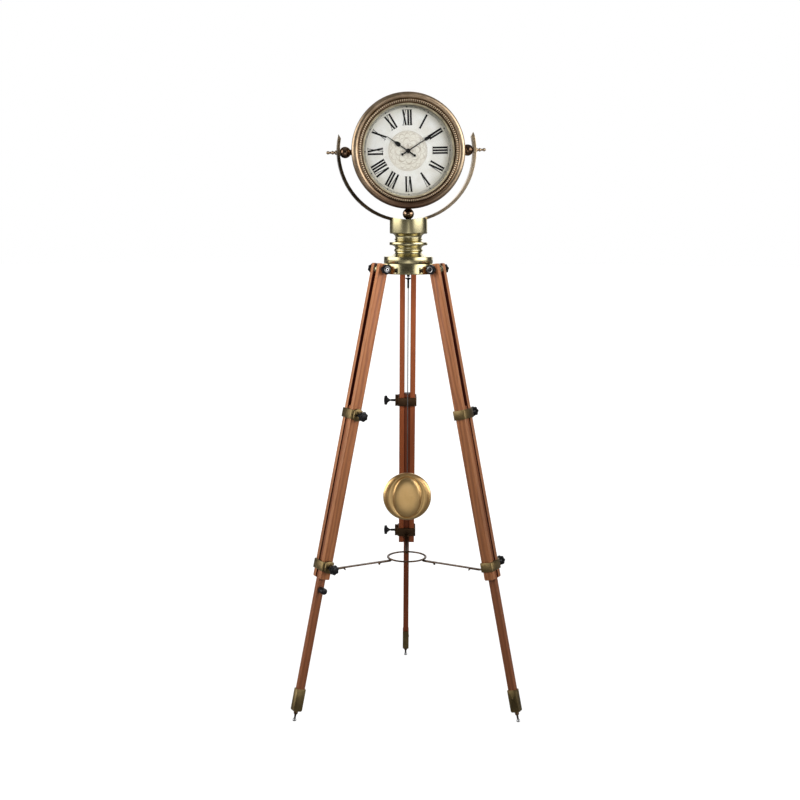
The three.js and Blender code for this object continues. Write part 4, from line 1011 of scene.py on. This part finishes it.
# %% [markdown]
# ## The dial
# The dial is a printed plate behind flat glass, with tall Roman numerals, a fine minute track, and
# a faded rosette in the middle. A picture could be laid on the plate, but a formula stays sharp at
# any size. So the rosette, the stains and a darker rim are in the material, where each line is a
# distance from the dial's middle, and the numerals are thin shapes on top.

# %% The rosette's lines
rosette_rings = ((45.5, 0.5), (43.0, 0.25), (31.0, 0.3), (17.5, 0.35))


def rosette(made, across, up):
    """The radius in millimetres, and how strongly the rosette is printed at a place."""
    square = made.sum("ADD", made.sum("MULTIPLY", across, across), made.sum("MULTIPLY", up, up))
    radius = made.sum("MULTIPLY", made.sum("SQRT", square), 1000.0)
    angle = made.sum("ARCTAN2", across, up)

    def line(at, half):
        off = made.sum("ABSOLUTE", made.sum("SUBTRACT", radius, at))
        return made.fit(off, half, half + 0.5, 1.0, 0.0)

    def petals(count, inner, length, phase=0.0):
        turn = made.sum("ADD", made.sum("MULTIPLY", angle, count / 2), phase)
        wave = made.sum("POWER", made.sum("ABSOLUTE", made.sum("COSINE", turn)), 0.6)
        edge = made.sum("ADD", made.sum("MULTIPLY", wave, length), inner)
        return made.sum("SUBTRACT", edge, radius)

    outer = made.fit(made.sum("ABSOLUTE", petals(16, 33.0, 8.0)), 0.5, 1.5, 0.75, 0.0)
    middle = made.fit(made.sum("ABSOLUTE", petals(8, 19.0, 10.0, 0.4)), 0.6, 1.6, 0.85, 0.0)
    heart = made.fit(petals(8, 7.0, 9.0), -0.6, 0.8, 0.0, 0.7)
    marks = made.sum("MAXIMUM", made.sum("MAXIMUM", outer, middle), heart)
    for at, half in rosette_rings:
        marks = made.sum("MAXIMUM", marks, made.sum("MULTIPLY", line(at, half), 0.8))
    return radius, marks


# %% Dial material
def dial_finish():
    made = Finish("printed dial")
    into_head = head_frame.inverted()
    upright = made.coordinates(turn=tuple(into_head.to_euler()), place=tuple(into_head.translation))
    apart = made.add("SeparateXYZ", {"Vector": upright}).outputs
    radius, marks = rosette(made, apart["X"], apart["Z"])
    paper = made.ramp(
        made.noise(upright, 30, detail=5),
        (0.3, (0.78, 0.76, 0.69)),
        (0.5, (0.86, 0.85, 0.8)),
        (0.72, (0.92, 0.92, 0.89)),
    )
    stain = made.noise(upright, 9, detail=3)
    paper = made.mixed(made.fit(stain, 0.45, 0.75, 0.0, 0.3), paper, (0.72, 0.68, 0.55))
    # The paper turns darker and more olive towards the rim.
    rim = made.fit(radius, 84.0, 107.0, 0.0, 0.6)
    paper = made.mixed(rim, paper, (0.5, 0.45, 0.29))
    disc = made.fit(radius, 44.0, 47.0, 0.45, 0.0)
    tone = made.mixed(disc, paper, (0.76, 0.7, 0.56))
    fading = made.fit(made.noise(upright, 55, detail=3), 0.35, 0.62, 0.2, 0.75)
    marks = made.sum("MULTIPLY", marks, fading)
    tone = made.mixed(marks, tone, (0.3, 0.21, 0.12))
    made.feed("Base Color", tone)
    made.feed("Roughness", made.fit(stain, 0.3, 0.7, 0.5, 0.68))
    made.relief(made.noise(upright, 700, detail=2), 0.05, 0.0002)
    return made.material


plate_profile = [(4.3, -16.7), (119.7, -16.7), (120.4, -16.5), (120.4, -15.5), (4.3, -15.5)]
plate = turned("printed_dial", plate_profile, sides=160, ring=True)
settled(plate, head_frame @ facing)
fitted(plate, "head", "dial_card", dial_finish(), "dial")
print("dial", round(2 * plate_profile[2][0], 1), "mm across")

# %% [markdown]
# A text object would bring the letters of its own font, and these are taller and narrower. So each
# numeral is drawn from straight pen strokes: a broad downstroke, a thin upstroke and thin serifs.
# They are stood on the numeral ring with their feet to the middle.

# %% Letters of the numerals
numeral_foot, numeral_height = 58.5, 36.0
broad, thin, serif = 4.3, 1.3, 1.2


def stroke(x0, x1, width):
    """A slanted band from x0 at the foot to x1 at the head, as four corners."""
    half, top = width / 2, numeral_height
    return [(x0 - half, 0), (x0 + half, 0), (x1 + half, top), (x1 - half, top)]


def serif_bar(x, width, top):
    low = numeral_height - serif if top else 0
    left, right, high = x - width / 2, x + width / 2, low + serif
    return [(left, low), (right, low), (right, high), (left, high)]


def letter(kind, x):
    if kind == "I":
        return [stroke(x, x, broad), serif_bar(x, 5.8, True), serif_bar(x, 5.8, False)]
    if kind == "V":
        bands = [stroke(x, x - 3.3, broad), stroke(x + 0.6, x + 4, thin)]
        return bands + [serif_bar(x - 3.3, 5.4, True), serif_bar(x + 4, 3.8, True)]
    bands = [stroke(x + 3.2, x - 3.2, broad), stroke(x - 3.4, x + 3.4, thin)]
    ends = ((-3.2, True), (3.4, True), (-3.4, False), (3.2, False))
    return bands + [serif_bar(x + place, 4.8, top) for place, top in ends]


def on_dial(corners, hour, foot_radius):
    """Turn flat corners to their hour, clockwise from the top."""
    turn = -math.radians(30 * hour)
    placed = []
    for x, z in corners:
        z += foot_radius
        side = x * math.cos(turn) - z * math.sin(turn)
        placed.append((side, x * math.sin(turn) + z * math.cos(turn)))
    return placed


# %% Numerals and minute track
letter_widths = {"I": 6.3, "V": 11.4, "X": 11.8}
hours = ["XII", "I", "II", "III", "IV", "V", "VI", "VII", "VIII", "IX", "X", "XI"]
shapes = []
for hour, word in enumerate(hours):
    start = -sum(letter_widths[k] for k in word) / 2
    for kind in word:
        for corners in letter(kind, start + letter_widths[kind] / 2):
            shapes.append(on_dial(corners, hour, numeral_foot))
        start += letter_widths[kind]
minute_mark = ([(-0.2, 0), (0.2, 0), (0.2, 1.7), (-0.2, 1.7)], 99.6)
hour_diamond = ([(0, -1.9), (1.5, 0.6), (0, 3.1), (-1.5, 0.6)], 99.8)
for minute in range(60):
    corners, foot_at = minute_mark if minute % 5 else hour_diamond
    shapes.append(on_dial(corners, minute / 5, foot_at))
track_steps, track_width = 240, 0.35
slope = math.tan(math.pi / track_steps)
for at in (99.2, 101.5):
    inner, outer = at * slope, (at + track_width) * slope
    corners = [(-inner, 0), (inner, 0), (outer, track_width), (-outer, track_width)]
    for i in range(track_steps):
        shapes.append(on_dial(corners, 12 * i / track_steps, at))
print("printed shapes", len(shapes))

# %% Printing
ink_depth, ink_thickness = 16.95, 0.12
points = [(x * MM, -ink_depth * MM, z * MM) for shape in shapes for x, z in shape]
faces = [tuple(range(4 * i, 4 * i + 4)) for i in range(len(shapes))]
ink_mesh = bpy.data.meshes.new("printed_numerals")
ink_mesh.from_pydata(points, [], faces)
numerals = bpy.data.objects.new("printed_numerals", ink_mesh)
bpy.context.scene.collection.objects.link(numerals)
only(numerals)
bpy.ops.object.mode_set(mode="EDIT")
bpy.ops.mesh.select_all(action="SELECT")
bpy.ops.mesh.normals_make_consistent(inside=False)
bpy.ops.object.mode_set(mode="OBJECT")
modified(numerals, "SOLIDIFY", thickness=ink_thickness * MM, offset=0)
settled(numerals, head_frame)
fitted(numerals, "head", "dial_card", black_ink)
print("numerals", len(numerals.data.polygons), "faces")

# %% [markdown]
# The hands are pressed from thin sheet and enamelled black, and the works behind the dial are a
# plain black box. All three only get their edges eased.

# %% Hands and movement
for name in ("hour_hand", "minute_hand"):
    hand = eased(name, f"enamel_{name}", 0.15, segments=1)
    fitted(hand, name, "black_metal", black_enamel, name)
works = eased("movement", "black_movement", 0.5)
fitted(works, "head", "black_grip", black_grip, "movement")
print("hands and works eased")

# %% [markdown]
# ### Glass
# The dial is covered by a flat pane beside the dark groove ring. Flat clear glass hardly shows, so it
# lets nearly all light through and keeps only a thin sharp reflection.

# %% Glass
def clear_glass():
    made = Finish("clear glass")
    smear = made.noise(made.coordinates(), 25, detail=3)
    made.feed("Base Color", (0.9, 0.94, 0.95))
    made.feed("Roughness", made.fit(smear, 0.3, 0.7, 0.02, 0.06))
    made.feed("Transmission Weight", 1.0)
    made.feed("IOR", 1.45)
    made.feed("Alpha", 0.12)
    return made.material


pane_profile = [(109.1, -28.2), (109.5, -27.9), (109.5, -26.5), (109.1, -26.2)]
pane = settled(turned("glass_pane", pane_profile), head_frame @ facing)
fitted(pane, "head", "clear_glass", clear_glass(), "glass")
print("glass", round(2 * pane_profile[1][0], 1), "mm across")

# %% [markdown]
# ## The pendulum
# A thin steel rod hangs from a hook under the base. The bob is a shallow lens with an oval dome
# raised on its front. A sphere pressed flat has no such dome, and a lathe makes only circles, so
# the bob is extruded ring by ring, from an oval in the middle to a circle at the rim.

# %% Hanger, hook and rod
hanger = eased("pendulum_hanger", "enamel_hanger", 0.3)
fitted(hanger, "stand", "black_metal", black_enamel, "pendulum_hanger")
hook = eased("pendulum_hook", "enamel_hook", 0, smooth=45)
fitted(hook, "pendulum", "black_metal", black_enamel, "pendulum_hook")
rod_low, rod_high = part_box("pendulum_rod")
low, high = rod_low.z / MM, rod_high.z / MM
rod = turned("steel_rod", [(1.0, low), (1.2, low + 0.4), (1.2, high - 0.4), (1.0, high)], sides=24)
fitted(rod, "pendulum", "bright_steel", dark_steel, "pendulum_rod")
print("rod", round(high - low, 1), "mm long")

# %% Swivel bolt
bolt_profile = [(2.3, 1051.8), (10.6, 1051.8), (11, 1052.2), (11, 1057.3)]
bolt = turned("steel_swivel_bolt", bolt_profile, sides=48)
fitted(bolt, "stand", "bright_steel", steel, "swivel_bolt")
print("swivel bolt", len(bolt.data.polygons), "faces")

# %% The bob's rings
bob_radius, bob_edge = 58.5, 1.5
oval_width, oval_height = 34, 50
front_rise, back_rise = 13, 10
dome_shares = (0.1, 0.25, 0.4, 0.54, 0.67, 0.78, 0.87, 0.94, 0.98, 1)
dome = [(share, 0.56 + 0.44 * (1 - share**4) ** 0.5) for share in dome_shares]
shoulder = [(0.04, 0.48), (0.1, 0.46), (0.18, 0.51), (0.28, 0.55), (0.4, 0.55), (0.54, 0.5)]
shoulder += [(0.68, 0.41), (0.81, 0.29), (0.92, 0.16), (0.985, 0.04), (1.0, 0.0)]
back = [(0.97, 0.12), (0.88, 0.32), (0.75, 0.53), (0.58, 0.73), (0.4, 0.88), (0.22, 0.97), (0.08, 1.0)]


def bob_rings():
    """Half width, half height and depth of each ring, from the front's middle to the back's."""
    rings = []
    for share, rise in dome:
        front = -bob_edge - front_rise * rise
        rings.append((oval_width * share, oval_height * share, front))
    for share, rise in shoulder:
        wide = oval_width + (bob_radius - oval_width) * share
        tall = oval_height + (bob_radius - oval_height) * share
        rings.append((wide, tall, -bob_edge - front_rise * rise))
    for share, rise in [(1, 0), *back]:
        rings.append((bob_radius * share, bob_radius * share, bob_edge + back_rise * rise))
    return rings


# %% Bob
bob_height = 0.511
rings = bob_rings()
wide, tall, depth = rings[0]
bpy.ops.object.select_all(action="DESELECT")
bpy.ops.mesh.primitive_circle_add(vertices=128, radius=wide * MM, location=(0, 0, depth * MM))
bob = bpy.context.object
bob.name = "brass_bob"
bpy.ops.object.transform_apply(location=True)
bpy.ops.object.mode_set(mode="EDIT")
bpy.ops.mesh.select_all(action="SELECT")
bpy.ops.transform.resize(value=(1, tall / wide, 1), center_override=(0, 0, depth * MM))
for next_wide, next_tall, next_depth in rings[1:]:
    step = (0, 0, (next_depth - depth) * MM)
    bpy.ops.mesh.extrude_edges_move(TRANSFORM_OT_translate={"value": step})
    scale = (next_wide / wide, next_tall / tall, 1)
    bpy.ops.transform.resize(value=scale, center_override=(0, 0, next_depth * MM))
    wide, tall, depth = next_wide, next_tall, next_depth
bpy.ops.mesh.select_all(action="SELECT")
bpy.ops.mesh.fill_holes(sides=0)
bpy.ops.mesh.select_all(action="SELECT")
bpy.ops.mesh.normals_make_consistent(inside=False)
bpy.ops.object.mode_set(mode="OBJECT")
smoothed(bob, 40)
settled(bob, Matrix.Translation((0, 0, bob_height)) @ facing)
fitted(bob, "pendulum", "pale_antique_brass", bob_brass, "pendulum_bob")
print("bob", len(bob.data.polygons), "faces")

# %% [markdown]
# ## Floor and light
# The clock stands on a pale floor that fades into a white surround. The floor glows for the camera,
# and casts little of that light back up. Polished metal sees a bright patch of it in front of the
# clock, which gives the lower curves of the turned brass their shine.

# %% Floor
floor_radius, floor_drop = 30, 0.0002
bpy.ops.object.select_all(action="DESELECT")
bpy.ops.mesh.primitive_circle_add(
    vertices=96, radius=floor_radius, fill_type="NGON", location=(0, 0, -floor_drop)
)
floor = bpy.context.object
floor.name = "floor"


def floor_material():
    made = Finish("pale floor")
    place = made.coordinates()
    reach = made.add("VectorMath", {0: place}, operation="LENGTH").outputs["Value"]
    apart = made.add("SeparateXYZ", {"Vector": place}).outputs
    ray = made.add("LightPath").outputs
    ahead = made.fit(apart["Y"], -1.2, -2.4, 0.0, 1.3)
    aside = made.fit(made.sum("ABSOLUTE", apart["X"]), 0.2, 1.3, 1.0, 0.08)
    patch = made.sum("MULTIPLY", ray["Is Glossy Ray"], made.sum("MULTIPLY", ahead, aside))
    near_glow = made.fit(reach, 0.4, 2.0, 0.9, 1.0)
    seen_glow = made.sum("MULTIPLY", near_glow, made.fit(ray["Is Camera Ray"], 0.0, 1.0, 0.06, 1.0))
    made.feed("Base Color", (0.14, 0.14, 0.14))
    made.feed("Roughness", 0.8)
    made.feed("Emission Color", (1, 1, 1))
    made.feed("Emission Strength", made.sum("ADD", seen_glow, patch))
    return made.material


floor.data.materials.append(floor_material())
print("floor", 2 * floor_radius, "metres across")

# %% [markdown]
# What the metal mirrors is painted in the surround: a bright screen on the left and on the right, a
# weaker one behind, hardly any light from above and from the front. So turned brass gets two bright
# bands with a dark middle between them. The camera itself sees plain white.

# %% Surround
world = bpy.data.worlds.new("studio")
bpy.context.scene.world = world
world.use_nodes = True
surround = Nodes(world.node_tree)
direction = surround.add("TexCoord").outputs["Generated"]


def screen(aim, start, end, brightness):
    """A soft bright patch of the surround, round one direction."""
    toward = surround.add("VectorMath", {0: direction, 1: aim}, operation="DOT_PRODUCT")
    return surround.fit(toward.outputs["Value"], start, end, 0.0, brightness)


screen_places = (
    ((-0.975, -0.2, 0.1), 0.78, 0.94, 3.8),
    ((0.885, -0.45, 0.1), 0.78, 0.95, 4.3),
    ((0, -0.15, 0.99), 0.5, 1.0, 0.25),
    ((0, -1, 0.1), 0.2, 0.9, 0.04),
    ((0.15, 0.95, 0.25), 0.8, 0.97, 1.6),
)
screens = 0.03
for aim, start, end, brightness in screen_places:
    screens = surround.sum("ADD", screen(aim, start, end, brightness), screens)
seen = surround.add("LightPath").outputs["Is Camera Ray"]
light = surround.mixed(seen, screens, (1.0, 1.0, 1.0))
surround.tree.links.new(light, surround.tree.nodes["Background"].inputs["Color"])
print("screens", len(screen_places))

# %% [markdown]
# Wood and paint are lit by five large soft lamps: two windows at the sides, a fill in front, one
# behind and a weak one above. They don't show in reflections, because their hard shapes would cut
# across the soft bands on the metal.

# %% Lamps
lamp_aim = Vector((0, 0, 0.9))
lamp_table = {
    "left_window": ((-2.6, -1.2, 1.9), (1.2, 2.6), 24),
    "right_window": ((2.6, -1.0, 1.7), (1.2, 2.4), 13),
    "front_fill": ((-0.6, -3.4, 2.8), (1.6, 1.0), 40),
    "back_fill": ((0.9, 3.3, 2.4), (1.6, 1.2), 40),
    "top_fill": ((0, 0.4, 3.4), (2.2, 2.2), 5),
}
for name, (place, (width, height), power) in lamp_table.items():
    data = bpy.data.lights.new(name, "AREA")
    data.shape = "RECTANGLE"
    data.size, data.size_y, data.energy = width, height, power
    lamp = bpy.data.objects.new(name, data)
    turn = (lamp_aim - Vector(place)).to_track_quat("-Z", "Y")
    lamp.matrix_world = Matrix.Translation(place) @ turn.to_matrix().to_4x4()
    lamp.visible_glossy = False
    bpy.context.scene.collection.objects.link(lamp)
print("lights", len(lamp_table))
